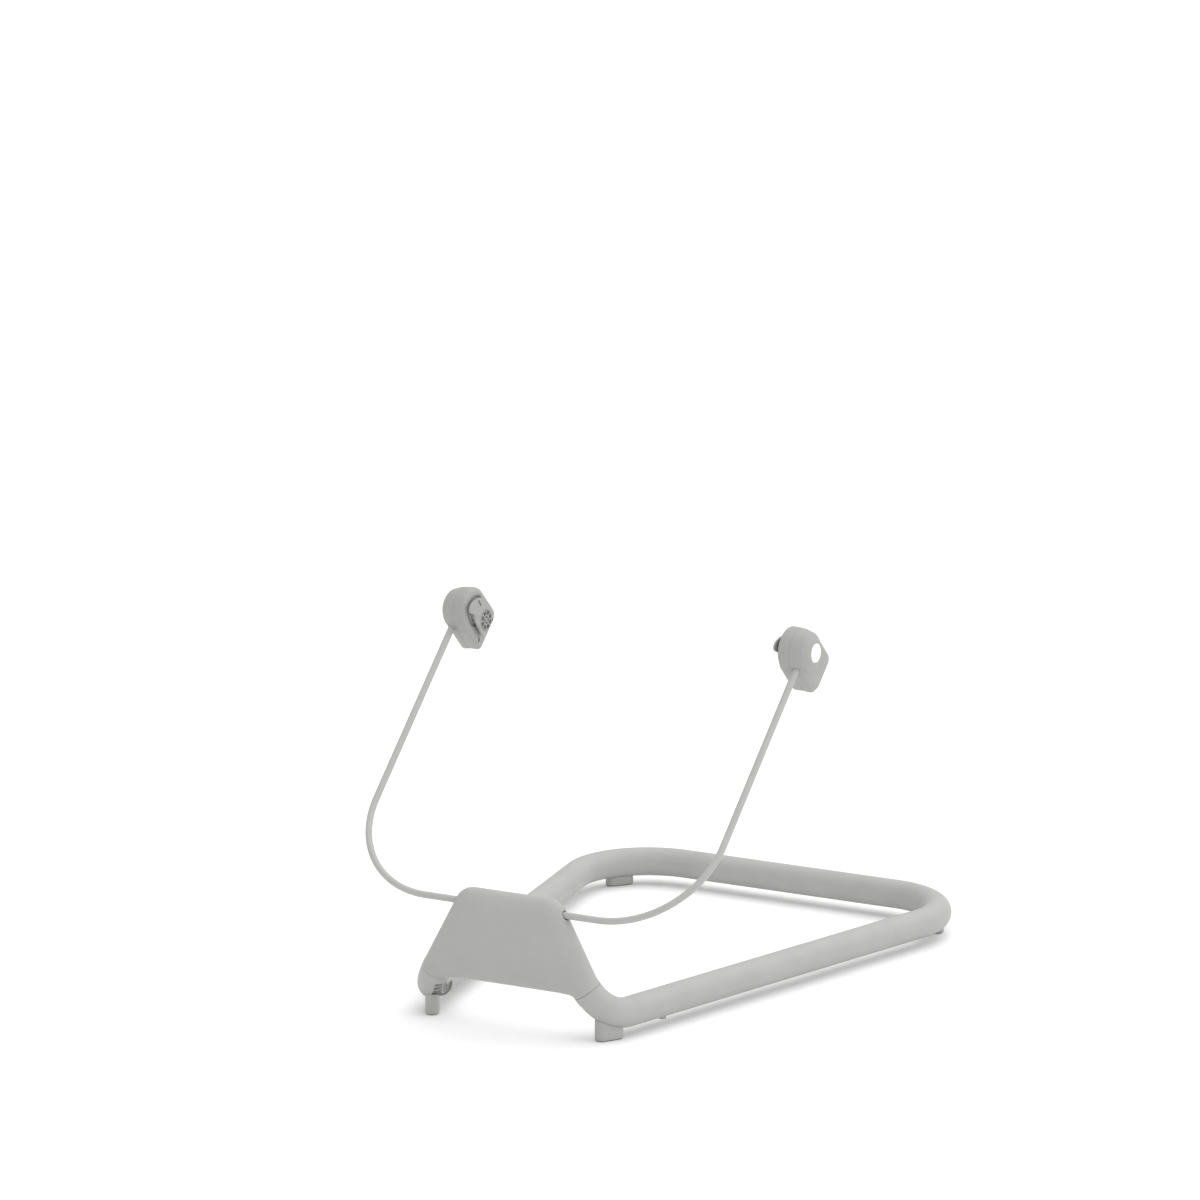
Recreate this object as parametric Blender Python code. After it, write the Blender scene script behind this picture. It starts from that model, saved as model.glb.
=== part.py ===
# Baby bouncer stand: tube base, arch housing, sprung wire and two seat mounts.
# Metres, +Z up, +Y to the back, the floor at z = 0, the origin under the middle of the base.
import math

import bmesh
import bpy
from mathutils import Matrix, Vector

# Clearances
SEAT_GAP = 0.0003
SLIDE_GAP = 0.0003
INSERT_GAP = 0.0006
BITE = 0.0005

# Base tube
TUBE_RADIUS = 0.0175
TUBE_WALL = 0.0015
TUBE_SIDES = 20
FLOOR_GAP = 0.0103
ARCH_Y = -0.335
REAR_Y = 0.335
ARCH_TOP_Z = 0.1446
ARCH_TOP_HALF = 0.0532
LEG_FOOT_HALF = 0.1174
REAR_HALF = 0.2612
ARCH_BEND = 0.0226
CORNER_BEND = 0.0529
REAR_BEND = 0.0917
BEND_STEP = math.radians(9)
SEAM_FROM_CORNER = 0.0356

# Arch housing
HOUSING_WALL = 0.0025
PANEL_BOTTOM_Z = 0.0528
EDGE_STEPS = 10
ARC_STEPS = 6
LEG_STEPS = 3
COVER_INSET = 0.004
COVER_POST_RADIUS = 0.004
COVER_SCREW_RADIUS = 0.0016
COVER_SCREW_HEAD = 0.0032
COVER_SCREW_LENGTH = 0.014
UPPER_POST_IN = 0.013
UPPER_POST_DOWN = 0.015
LOWER_POST_IN = 0.022
LOWER_POST_UP = 0.010

# Spring wire
WIRE_RADIUS = 0.004
WIRE_SIDES = 12
WIRE_HALF_STRAIGHT = 0.11465
WIRE_BEND = 0.1166
WIRE_LEAN = math.radians(45)
WIRE_RISE = 0.3854
WIRE_HOLE = 0.0062
CLAMP_HALF_WIDTH = 0.020
CLAMP_UP = 0.009
CLAMP_DOWN = 0.019
CLAMP_THICKNESS = 0.009
CLAMP_SCREW_OUT = 0.012
CLAMP_SCREW_DOWN = 0.0115
CLAMP_SCREW_RADIUS = 0.002
CLAMP_SCREW_HEAD = 0.0038
CLAMP_HEAD_HEIGHT = 0.0025
CLAMP_SCREW_DEPTH = 0.010
BUSH_OUT = 0.054
BUSH_RADIUS = 0.0075
BUSH_FLANGE = 0.009
BUSH_FLANGE_WIDTH = 0.002
CRADLE_WIDTH = 0.006

# Moulded corner inserts with their ribs, and the snap buttons
INSERT_IN_HOUSING = 0.030
INSERT_IN_TUBE = 0.137
INSERT_SIDES = 20
WINDOW_START = 0.008
WINDOW_LENGTH = 0.060
WINDOW_DEPTH = 0.0063
RIB_THICKNESS = 0.0016
RIB_COLUMNS = 8
RIB_HALF_WIDTH = 0.0105
RIB_DEPTH = 0.009
SNAP_FROM_SEAM = 0.1245
SNAP_RADIUS = 0.0045
SNAP_FLANGE = 0.0062
SNAP_FLANGE_HEIGHT = 0.002
SNAP_PROUD = 0.003
SNAP_BORE_TOP = 0.0165
SNAP_SPRING_RADIUS = 0.0046
SNAP_SPRING_WIRE = 0.0004
SNAP_SPRING_TURNS = 3

# Feet
FOOT_WIDTH = 0.016
FOOT_LENGTH = 0.0355
FOOT_BOTTOM = 0.001
FOOT_CHAMFER = 0.001
FOOT_TOP = 0.030
REAR_FOOT_TOP = 0.024
FRONT_FOOT_FROM_SEAM = 0.036
REAR_FOOT_FROM_CORNER = 0.485
PAD_MARGIN = 0.0015
PAD_HEIGHT = 0.0025
FOOT_SCREW_RADIUS = 0.002
FOOT_SCREW_HEAD = 0.0038
FOOT_HEAD_HEIGHT = 0.0022
FOOT_SCREW_REACH = 0.006

# Seat mounts, measured from the wire's axis: x outwards, v back and down, u along the wire
MOUNT_U = 0.3854
INNER_FACE_X = -0.0218
PLATE_FACE_X = -0.0283
PARTING_X = -0.0052
FACET_X = 0.0085
BOSS_TOP_X = 0.016
BARREL_INNER = 0.0278
BARREL_PARTING = 0.0271
BARREL_MIDDLE = 0.0259
BARREL_SLOPE = 0.0247
BARREL_FACET = 0.0230
BOSS_ROOT = 0.0241
BOSS_SHOULDER = 0.0234
BOSS_MIDDLE = 0.0198
BOSS_OUTER = 0.0163
BOSS_RIM = 0.0139
BLOCK_BACK_INNER = 0.0445
BLOCK_BACK_PARTING = 0.0465
BLOCK_BACK_OUTER = 0.0485
BLOCK_BOTTOM_INNER = 0.0272
BLOCK_BOTTOM_OUTER = 0.0284
BLOCK_BOTTOM_SLOPE = 0.0272
BLOCK_BOTTOM_FACET = 0.0190
BLOCK_LOW_CORNER = 0.003
BLOCK_TOP_CORNER = 0.007
BLOCK_EDGE = 0.001
PLATE_RADIUS = 0.0245
PLATE_TOP = 0.0205
PLATE_FRONT_TURN = math.radians(25)
PLATE_HEEL = (-0.0150, -0.0128)
PLATE_NOTCH = (-0.0082, -0.0086)
PLATE_LOW = 0.0158
PLATE_BACK = 0.0296
PLATE_CORNER = 0.003
PLATE_THICKNESS = 0.0062
PLATE_SKIN = 0.0045
PLATE_EDGE = 0.0008
NECK_RADIUS = 0.017
NECK_LENGTH = 0.0155
INNER_WALL = 0.003
CHAMBER_RADIUS = 0.0205
CHAMBER_DEPTH = 0.0063
CAVITY_RADIUS = 0.0142
OUTER_FLOOR = 0.0104
SLIT_V = -0.0083
SLIT_DEPTH = 0.0035
SLIT_U = 0.0064
SLIT_LENGTH = 0.0104
SLIT_WIDTH = 0.0024

# Lock gear and its teeth in the seat plate's neck, and the ring that holds the neck
GEAR_RADIUS = 0.0131
GEAR_TEETH = 16
GEAR_TOOTH = 0.0011
GEAR_WIDTH = 0.005
RING_OUTER = 0.0192
RING_GROOVE = 0.0155
RING_WIDTH = 0.0013
RING_OPENING = math.radians(24)

# Release button and spring
BUTTON_RADIUS = 0.0115
BUTTON_PROUD = 0.0004
DISC_THICKNESS = 0.0015
BUTTON_TRAVEL = 0.003
BUTTON_FLANGE = 0.0007
FLANGE_THICKNESS = 0.0021
STEM_RADIUS = 0.004
RELEASE_COIL = 0.0085
RELEASE_WIRE = 0.00045
RELEASE_TURNS = 2

# Socket in the seat plate's tail
SOCKET_V = 0.0186
SOCKET_U = 0.0003
SOCKET_RADIUS = 0.0120
SOCKET_PROUD = 0.0005
SOCKET_DEPTH = 0.0042
SOCKET_COLLAR = 0.0018
SOCKET_COLLAR_GAP = 0.0006
SOCKET_HOLES = 8
SOCKET_HOLE_RADIUS = 0.0021
SOCKET_HOLE_CIRCLE = 0.0086
SOCKET_INNER_HOLES = 4
SOCKET_INNER_RADIUS = 0.0014
SOCKET_INNER_CIRCLE = 0.0038

# Wire ferrule, its pin, and the screws of the shells
FERRULE_RADIUS = 0.006
FERRULE_BOTTOM = -0.0235
FERRULE_TOP = -0.0162
PIN_RADIUS = 0.0012
PIN_U = -0.0198
WIRE_MOUTH = 0.0046
PIN_INNER_X = -0.009
PIN_OUTER_X = 0.0055
SHELL_SCREW_RADIUS = 0.0016
SHELL_SCREW_HEAD = 0.003
SHELL_HEAD_HEIGHT = 0.0022
SHELL_SCREW_SINK = 0.003
SHELL_SCREW_END_X = 0.004
SHELL_SCREW_PLACES = {"lower": (0.030, -0.021), "upper": (0.0395, 0.013)}

TUBE_AXIS_Z = FLOOR_GAP + TUBE_RADIUS
BORE_RADIUS = TUBE_RADIUS - TUBE_WALL
ROUND_SIDES = 16
SMALL_SIDES = 12
WIRE_X = WIRE_HALF_STRAIGHT + WIRE_BEND
WIRE_AXIS = Vector((0, ARCH_Y, ARCH_TOP_Z))
WIRE_DIRECTION = Vector((0, math.sin(WIRE_LEAN), math.cos(WIRE_LEAN)))
BACK_DOWN = Vector((0, math.cos(WIRE_LEAN), -math.sin(WIRE_LEAN)))
SIDES = {"left": -1, "right": 1}


def clear_scene():
    for old in list(bpy.data.objects):
        bpy.data.objects.remove(old, do_unlink=True)


def make_material(name, colour, roughness, metallic=0.0):
    material = bpy.data.materials.new(name)
    material.use_nodes = True
    shader = material.node_tree.nodes["Principled BSDF"]
    shader.inputs["Base Color"].default_value = (*colour, 1.0)
    shader.inputs["Roughness"].default_value = roughness
    shader.inputs["Metallic"].default_value = metallic
    material.diffuse_color = (*colour, 1.0)
    return material


clear_scene()
GREY_PAINT = make_material("grey_paint", (0.46, 0.455, 0.44), 0.55)
GREY_PLASTIC = make_material("grey_plastic", (0.46, 0.455, 0.44), 0.6)
GREY_WIRE = make_material("grey_wire_coat", (0.46, 0.455, 0.44), 0.5)
SOFT_GREY = make_material("soft_grey_rubber", (0.34, 0.335, 0.32), 0.8)
WHITE_PLASTIC = make_material("white_plastic", (0.88, 0.88, 0.87), 0.45)
NATURAL_NYLON = make_material("natural_nylon", (0.80, 0.78, 0.72), 0.5)
STEEL = make_material("zinc_steel", (0.62, 0.62, 0.64), 0.35, 1.0)


def loft(mesh, rings):
    """Skin a row of closed rings with as many points each, and close both ends."""
    rows = [[mesh.verts.new(point) for point in ring] for ring in rings]
    count = len(rows[0])
    for near, far in zip(rows, rows[1:]):
        for k in range(count):
            following = (k + 1) % count
            mesh.faces.new((near[k], near[following], far[following], far[k]))
    mesh.faces.new(rows[0][::-1])
    mesh.faces.new(rows[-1])


def finish(mesh, name, material, origin=Vector((0, 0, 0)), parent=None):
    """Close the mesh and make it an object whose origin is at a point of the stand."""
    bmesh.ops.remove_doubles(mesh, verts=mesh.verts, dist=1e-7)
    bmesh.ops.dissolve_degenerate(mesh, edges=mesh.edges, dist=1e-7)
    bmesh.ops.recalc_face_normals(mesh, faces=mesh.faces)
    bmesh.ops.translate(mesh, verts=mesh.verts, vec=-origin)
    data = bpy.data.meshes.new(name)
    mesh.to_mesh(data)
    mesh.free()
    if material:
        data.materials.append(material)
    data.shade_smooth()
    data.set_sharp_from_angle(angle=math.radians(35))
    made = bpy.data.objects.new(name, data)
    bpy.context.scene.collection.objects.link(made)
    made.location = origin
    if parent:
        made.parent = parent
        made.location = origin - parent.location
    return made


def make_tool(mesh, name):
    """A cutter or an added shape, which is no piece of the stand."""
    tool = finish(mesh, name, None)
    tool.hide_render = True
    tool.display_type = "WIRE"
    return tool


def combine(target, tool, operation):
    step = target.modifiers.new(operation.lower() + "_" + tool.name, "BOOLEAN")
    step.operation = operation
    step.solver = "EXACT"
    step.object = tool


def circle(centre, first, second, radius, sides=ROUND_SIDES):
    """Points of a circle in the plane of two unit vectors."""
    points = []
    for k in range(sides):
        angle = math.tau * (k + 0.5) / sides
        points.append(centre + first * radius * math.cos(angle) + second * radius * math.sin(angle))
    return points


def turned(mesh, start, direction, outline, sides=ROUND_SIDES):
    """A round solid along a direction, from pairs of distance and radius."""
    direction = direction.normalized()
    across = direction.orthogonal().normalized()
    other = direction.cross(across)
    loft(mesh, [circle(start + direction * run, across, other, radius, sides) for run, radius in outline])


def rod(mesh, start, end, radius, sides=ROUND_SIDES):
    run = end - start
    turned(mesh, start, run, [(0, radius), (run.length, radius)], sides)


def block(mesh, low, high):
    rings = []
    for y in (low[1], high[1]):
        rings.append([Vector((low[0], y, low[2])), Vector((high[0], y, low[2])),
                      Vector((high[0], y, high[2])), Vector((low[0], y, high[2]))])
    loft(mesh, rings)


def pin_with_head(mesh, under_head, direction, head_radius, head_height, shank_radius, shank_length):
    """A screw or bolt: the shank runs along the direction from under the head."""
    outline = [(-head_height, head_radius), (0, head_radius), (0, shank_radius), (shank_length, shank_radius)]
    turned(mesh, under_head, direction, outline, SMALL_SIDES)


def coil(mesh, start, direction, radius, wire, height, turns):
    """A compression spring as one unbroken tube."""
    direction = direction.normalized()
    across = direction.orthogonal().normalized()
    other = direction.cross(across)
    rings = []
    points_per_turn = 9
    rise = height - 2 * wire
    for k in range(turns * points_per_turn + 1):
        angle = math.tau * k / points_per_turn
        out = across * math.cos(angle) + other * math.sin(angle)
        along = wire + rise * k / (turns * points_per_turn)
        rings.append(circle(start + direction * along + out * radius, out, direction, wire, 5))
    loft(mesh, rings)


# The tube's centre line on one side, from the middle of the arch to the middle of the rear bar
def centre_line(side):
    points = [Vector((0, ARCH_Y, ARCH_TOP_Z)),
              Vector((side * ARCH_TOP_HALF, ARCH_Y, ARCH_TOP_Z)),
              Vector((side * LEG_FOOT_HALF, ARCH_Y, TUBE_AXIS_Z)),
              Vector((side * REAR_HALF, REAR_Y, TUBE_AXIS_Z)),
              Vector((0, REAR_Y, TUBE_AXIS_Z))]
    runs = []
    here = points[0]
    for corner, after, radius in zip(points[1:], points[2:], (ARCH_BEND, CORNER_BEND, REAR_BEND)):
        incoming = (corner - here).normalized()
        outgoing = (after - corner).normalized()
        turn = incoming.angle(outgoing)
        reach = radius * math.tan(turn / 2)
        start = corner - incoming * reach
        axis = incoming.cross(outgoing).normalized()
        centre = start + axis.cross(incoming) * radius
        runs.append({"start": here, "along": incoming, "length": (start - here).length})
        runs.append({"start": start, "along": incoming, "length": radius * turn,
                     "centre": centre, "axis": axis, "radius": radius})
        here = corner + outgoing * reach
    runs.append({"start": here, "along": (points[-1] - here).normalized(), "length": (points[-1] - here).length})
    return runs


def line_length(runs):
    return sum(run["length"] for run in runs)


def station(runs, side, distance):
    """Point, direction, outward and sideways vectors at a distance along the line."""
    sideways = Vector((0, 1, 0))
    for run in runs:
        last = run is runs[-1]
        inside = min(distance, run["length"]) if not last else distance
        point = run["start"] + run["along"] * inside
        along = run["along"]
        if "axis" in run:
            swing = Matrix.Rotation(inside / run["radius"], 3, run["axis"])
            point = run["centre"] + swing @ (run["start"] - run["centre"])
            along = swing @ run["along"]
            sideways = swing @ sideways
        if distance <= run["length"] or last:
            return point, along, along.cross(sideways) * side, sideways
        distance -= run["length"]


def stations_between(runs, first, last):
    """Distances to put rings at: the ends, the ends of each run, and steps in the bends."""
    marks = [first]
    begin = 0
    for run in runs:
        steps = 1
        if "axis" in run:
            steps = max(2, round(run["length"] / run["radius"] / BEND_STEP))
        marks += [begin + run["length"] * k / steps for k in range(steps + 1)]
        begin += run["length"]
    marks = sorted(mark for mark in marks if first < mark < last)
    chosen = [first]
    for mark in marks + [last]:
        if mark - chosen[-1] > 0.0008 or mark == last:
            chosen.append(mark)
    if len(chosen) > 2 and chosen[-1] - chosen[-2] < 0.0008:
        del chosen[-2]
    return chosen


def round_ring(runs, side, distance, radius, sides):
    point, along, outward, sideways = station(runs, side, distance)
    return circle(point, outward, sideways, radius, sides)


def sweep_round(mesh, runs, side, first, last, radius, sides):
    marks = stations_between(runs, first, last)
    loft(mesh, [round_ring(runs, side, mark, radius, sides) for mark in marks])


def sweep_box(mesh, runs, side, first, last, low, high, marks=None):
    """A bar along the line between two corners, each an outward and a sideways distance."""
    rings = []
    for mark in marks or stations_between(runs, first, last):
        point, along, outward, sideways = station(runs, side, mark)
        corners = [(low[0], low[1]), (high[0], low[1]), (high[0], high[1]), (low[0], high[1])]
        rings.append([point + outward * out + sideways * wide for out, wide in corners])
    loft(mesh, rings)


LINES = {side: centre_line(side) for side in SIDES.values()}
LEG_DIRECTION = LINES[1][2]["along"]
LEG_OUTWARD = Vector((-LEG_DIRECTION.z, 0, LEG_DIRECTION.x))
BEND_START = LINES[1][3]["start"]
BEND_AXIS = LINES[1][3]["axis"]
BEND_CENTRE = LINES[1][3]["centre"]
BEND_AT = sum(run["length"] for run in LINES[1][:3])
CORNER_REACH = (Vector((LEG_FOOT_HALF, ARCH_Y, TUBE_AXIS_Z)) - BEND_START).length
SEAM_PAST_BEND = max(0.001, CORNER_REACH - SEAM_FROM_CORNER)
SEAM_AT = BEND_AT + SEAM_PAST_BEND
PANEL_LINE_Z = PANEL_BOTTOM_Z + TUBE_RADIUS


def bend_past_leg(point):
    """Carry a point of the straight leg round the start of the corner bend."""
    side = 1 if point.x >= 0 else -1
    mirrored = Vector((abs(point.x), point.y, point.z))
    past = (mirrored - BEND_START).dot(LEG_DIRECTION)
    if past > 0:
        flat = mirrored - LEG_DIRECTION * past
        mirrored = BEND_CENTRE + Matrix.Rotation(past / CORNER_BEND, 3, BEND_AXIS) @ (flat - BEND_CENTRE)
    return Vector((side * mirrored.x, mirrored.y, mirrored.z))


def arch_half(offset, leg_end):
    """Outline of the arch's right half at an offset from the tube's line, from the top to the panel's edge."""
    arch = LINES[1][1]
    turn = arch["length"] / arch["radius"]
    points = []
    for k in range(ARC_STEPS + 1):
        angle = math.pi / 2 - turn * k / ARC_STEPS
        reach = arch["radius"] + offset
        points.append(arch["centre"] + Vector((math.cos(angle), 0, math.sin(angle))) * reach)
    fall = -LEG_DIRECTION.z

    def leg_distance_at(inset):
        start = BEND_START - LEG_OUTWARD * inset
        return (start.z - (PANEL_LINE_Z - inset)) / fall

    upper = leg_distance_at(0)
    meeting = leg_distance_at(offset)
    for step in range(LEG_STEPS + 1):
        run = upper + (leg_end - upper) * step / LEG_STEPS
        points.append(BEND_START + LEG_DIRECTION * run + LEG_OUTWARD * offset)
    for step in range(LEG_STEPS, -1, -1):
        run = meeting + (leg_end - meeting) * step / LEG_STEPS
        points.append(BEND_START + LEG_DIRECTION * run - LEG_OUTWARD * offset)
    return points


def arch_solid(mesh, radius, leg_end):
    """The arch with half-round edges: the panel between the legs and the two leg ends."""
    rings = []
    for level in range(EDGE_STEPS + 1):
        angle = math.pi * (level / EDGE_STEPS - 0.5)
        offset = radius * math.cos(angle) if 0 < level < EDGE_STEPS else 0.0
        half = arch_half(offset, leg_end)
        shift = Vector((0, radius * math.sin(angle), 0))
        right = [point + shift for point in half]
        left = [Vector((-point.x, point.y, point.z)) for point in right[::-1]]
        rings.append([bend_past_leg(point) for point in right + left])
    rows = [[mesh.verts.new(point) for point in ring] for ring in rings]
    count = len(rows[0])
    for near, far in zip(rows, rows[1:]):
        for k in range(count):
            following = (k + 1) % count
            mesh.faces.new((near[k], near[following], far[following], far[k]))
    body = ARC_STEPS + 2
    for row in (rows[0], rows[-1]):
        mesh.faces.new(row[:body] + row[count - body:])


def panel_outline(inset, y):
    """The panel's flat face, drawn in by an inset, as points at one depth."""
    half = []
    arch = LINES[1][1]
    turn = arch["length"] / arch["radius"]
    for k in range(3):
        angle = math.pi / 2 - turn * k / 2
        reach = arch["radius"] - inset
        half.append(arch["centre"] + Vector((math.cos(angle), 0, math.sin(angle))) * reach)
    start = BEND_START - LEG_OUTWARD * inset
    run = (start.z - (PANEL_LINE_Z + inset)) / -LEG_DIRECTION.z
    half.append(start + LEG_DIRECTION * run)
    right = [Vector((point.x, y, point.z)) for point in half]
    left = [Vector((-point.x, y, point.z)) for point in right[::-1]]
    return right + left


def cover_region(mesh, inset, ear_gap, front_y):
    """The space of the rear cover: the panel's face, and an ear behind the wire on each side."""
    loft(mesh, [panel_outline(inset, front_y), panel_outline(inset, ARCH_Y + TUBE_RADIUS + 0.004)])


def ear_box(mesh, side, gap):
    low_z = ARCH_TOP_Z - WIRE_HOLE + gap
    high_z = ARCH_TOP_Z + WIRE_HOLE - gap
    near = side * (ARCH_TOP_HALF - 0.024)
    far = side * (ARCH_TOP_HALF + 0.035)
    block(mesh, (min(near, far), ARCH_Y + gap, low_z), (max(near, far), ARCH_Y + TUBE_RADIUS + 0.004, high_z))


def post_places():
    """Where the four posts of the rear cover stand: x and z."""
    upper_z = ARCH_TOP_Z - UPPER_POST_DOWN
    lower_z = PANEL_LINE_Z + LOWER_POST_UP
    places = {}
    for word, side in SIDES.items():
        places["upper_" + word] = (side * (ARCH_TOP_HALF - UPPER_POST_IN), upper_z)
        slope = LEG_DIRECTION.x / -LEG_DIRECTION.z
        lower_half = ARCH_TOP_HALF + (ARCH_TOP_Z - lower_z) * slope
        places["lower_" + word] = (side * (lower_half - LOWER_POST_IN), lower_z)
    return places


INNER_Y = ARCH_Y + TUBE_RADIUS - HOUSING_WALL
FRONT_WALL_Y = ARCH_Y - TUBE_RADIUS + HOUSING_WALL
POST_END_Y = INNER_Y - SEAT_GAP
BACK = Vector((0, 1, 0))
FORWARD = Vector((0, -1, 0))
UP = Vector((0, 0, 1))


def side_point(x, z, y):
    return Vector((x, y, z))


def make_housing():
    mesh = bmesh.new()
    arch_solid(mesh, TUBE_RADIUS, SEAM_PAST_BEND - SEAT_GAP / 2)
    housing = finish(mesh, "arch_housing", GREY_PLASTIC)

    hollow = bmesh.new()
    arch_solid(hollow, TUBE_RADIUS - HOUSING_WALL, SEAM_PAST_BEND + 0.004)
    hollow_tool = make_tool(hollow, "tool_arch_hollow")
    combine(housing, hollow_tool, "DIFFERENCE")

    window = bmesh.new()
    cover_region(window, COVER_INSET, 0, INNER_Y - 0.003)
    combine(housing, make_tool(window, "tool_cover_window"), "DIFFERENCE")
    ears = bmesh.new()
    for side in SIDES.values():
        ear_box(ears, side, 0)
    combine(housing, make_tool(ears, "tool_cover_ears"), "DIFFERENCE")

    posts = bmesh.new()
    for x, z in post_places().values():
        rod(posts, side_point(x, z, FRONT_WALL_Y - BITE), side_point(x, z, POST_END_Y), COVER_POST_RADIUS)
    combine(housing, make_tool(posts, "tool_cover_posts"), "UNION")

    bed = bmesh.new()
    block(bed, (-CLAMP_HALF_WIDTH, FRONT_WALL_Y - BITE, ARCH_TOP_Z - CLAMP_DOWN),
          (CLAMP_HALF_WIDTH, ARCH_Y - SEAT_GAP / 2, ARCH_TOP_Z + CLAMP_UP))
    for side in SIDES.values():
        middle = side * BUSH_OUT
        half = CRADLE_WIDTH / 2
        block(bed, (middle - half, FRONT_WALL_Y - BITE, ARCH_TOP_Z - 1.5 * BUSH_RADIUS),
              (middle + half, ARCH_Y + BUSH_RADIUS * 0.7, ARCH_TOP_Z + BUSH_RADIUS * 1.25))
    combine(housing, make_tool(bed, "tool_wire_beds"), "UNION")

    bores = bmesh.new()
    rod(bores, WIRE_AXIS - Vector((CLAMP_HALF_WIDTH + 0.001, 0, 0)),
        WIRE_AXIS + Vector((CLAMP_HALF_WIDTH + 0.001, 0, 0)), WIRE_RADIUS + SLIDE_GAP)
    for side in SIDES.values():
        middle = side * BUSH_OUT
        half = CRADLE_WIDTH / 2 + 0.001
        reach = BUSH_RADIUS + SEAT_GAP
        rod(bores, WIRE_AXIS + Vector((middle - half, 0, 0)), WIRE_AXIS + Vector((middle + half, 0, 0)), reach, 24)
        rod(bores, WIRE_AXIS + Vector((side * (BUSH_OUT + CRADLE_WIDTH), 0, 0)),
            WIRE_AXIS + Vector((side * (ARCH_TOP_HALF + 0.035), 0, 0)), WIRE_HOLE)
    combine(housing, make_tool(bores, "tool_wire_bores"), "DIFFERENCE")

    mouths = bmesh.new()
    for side in SIDES.values():
        middle = side * BUSH_OUT
        half = CRADLE_WIDTH / 2 + 0.001
        reach = BUSH_RADIUS + SEAT_GAP
        block(mouths, (middle - half, ARCH_Y, ARCH_TOP_Z - reach * 0.98),
              (middle + half, ARCH_Y + BUSH_RADIUS, ARCH_TOP_Z + reach * 0.98))
    combine(housing, make_tool(mouths, "tool_cradle_mouths"), "DIFFERENCE")

    threads = bmesh.new()
    for x, z in post_places().values():
        depth = COVER_SCREW_LENGTH + 0.001
        rod(threads, side_point(x, z, POST_END_Y - depth), side_point(x, z, POST_END_Y + 0.001),
            COVER_SCREW_RADIUS + SLIDE_GAP, SMALL_SIDES)
    for side in SIDES.values():
        x = side * CLAMP_SCREW_OUT
        z = ARCH_TOP_Z - CLAMP_SCREW_DOWN
        rod(threads, side_point(x, z, ARCH_Y - CLAMP_SCREW_DEPTH - 0.001), side_point(x, z, ARCH_Y + 0.001),
            CLAMP_SCREW_RADIUS + SLIDE_GAP, SMALL_SIDES)
    combine(housing, make_tool(threads, "tool_housing_threads"), "DIFFERENCE")


def make_rear_cover():
    mesh = bmesh.new()
    cover_region(mesh, COVER_INSET + SEAT_GAP, 0, INNER_Y - 0.003)
    cover = finish(mesh, "rear_cover", GREY_PLASTIC)
    ears = bmesh.new()
    for side in SIDES.values():
        ear_box(ears, side, SEAT_GAP)
    combine(cover, make_tool(ears, "tool_ears_added"), "UNION")
    outside = bmesh.new()
    arch_solid(outside, TUBE_RADIUS, SEAM_PAST_BEND)
    combine(cover, make_tool(outside, "tool_arch_outside"), "INTERSECT")
    combine(cover, bpy.data.objects["tool_arch_hollow"], "DIFFERENCE")

    keepers = bmesh.new()
    for side in SIDES.values():
        middle = side * BUSH_OUT
        half = CRADLE_WIDTH / 2 - SEAT_GAP
        block(keepers, (middle - half, ARCH_Y + BUSH_RADIUS + SEAT_GAP, ARCH_TOP_Z - 0.004),
              (middle + half, INNER_Y + BITE, ARCH_TOP_Z + 0.004))
    combine(cover, make_tool(keepers, "tool_bush_keepers"), "UNION")

    holes = bmesh.new()
    for x, z in post_places().values():
        face_y = ARCH_Y + TUBE_RADIUS
        outline = [(-0.002, COVER_SCREW_HEAD + SLIDE_GAP), (0.0012 + SEAT_GAP, COVER_SCREW_HEAD + SLIDE_GAP),
                   (0.0012 + SEAT_GAP, COVER_SCREW_RADIUS + SLIDE_GAP), (0.006, COVER_SCREW_RADIUS + SLIDE_GAP)]
        turned(holes, side_point(x, z, face_y), FORWARD, outline, SMALL_SIDES)
    for side in SIDES.values():
        rod(holes, WIRE_AXIS + Vector((side * (BUSH_OUT + CRADLE_WIDTH), 0, 0)),
            WIRE_AXIS + Vector((side * (ARCH_TOP_HALF + 0.040), 0, 0)), WIRE_RADIUS + 0.0012)
    combine(cover, make_tool(holes, "tool_cover_holes"), "DIFFERENCE")

    for word, (x, z) in post_places().items():
        screw = bmesh.new()
        head_height = 0.0012
        under = side_point(x, z, ARCH_Y + TUBE_RADIUS - head_height)
        pin_with_head(screw, under, FORWARD, COVER_SCREW_HEAD, head_height, COVER_SCREW_RADIUS, COVER_SCREW_LENGTH)
        finish(screw, "cover_screw_" + word, STEEL)


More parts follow.
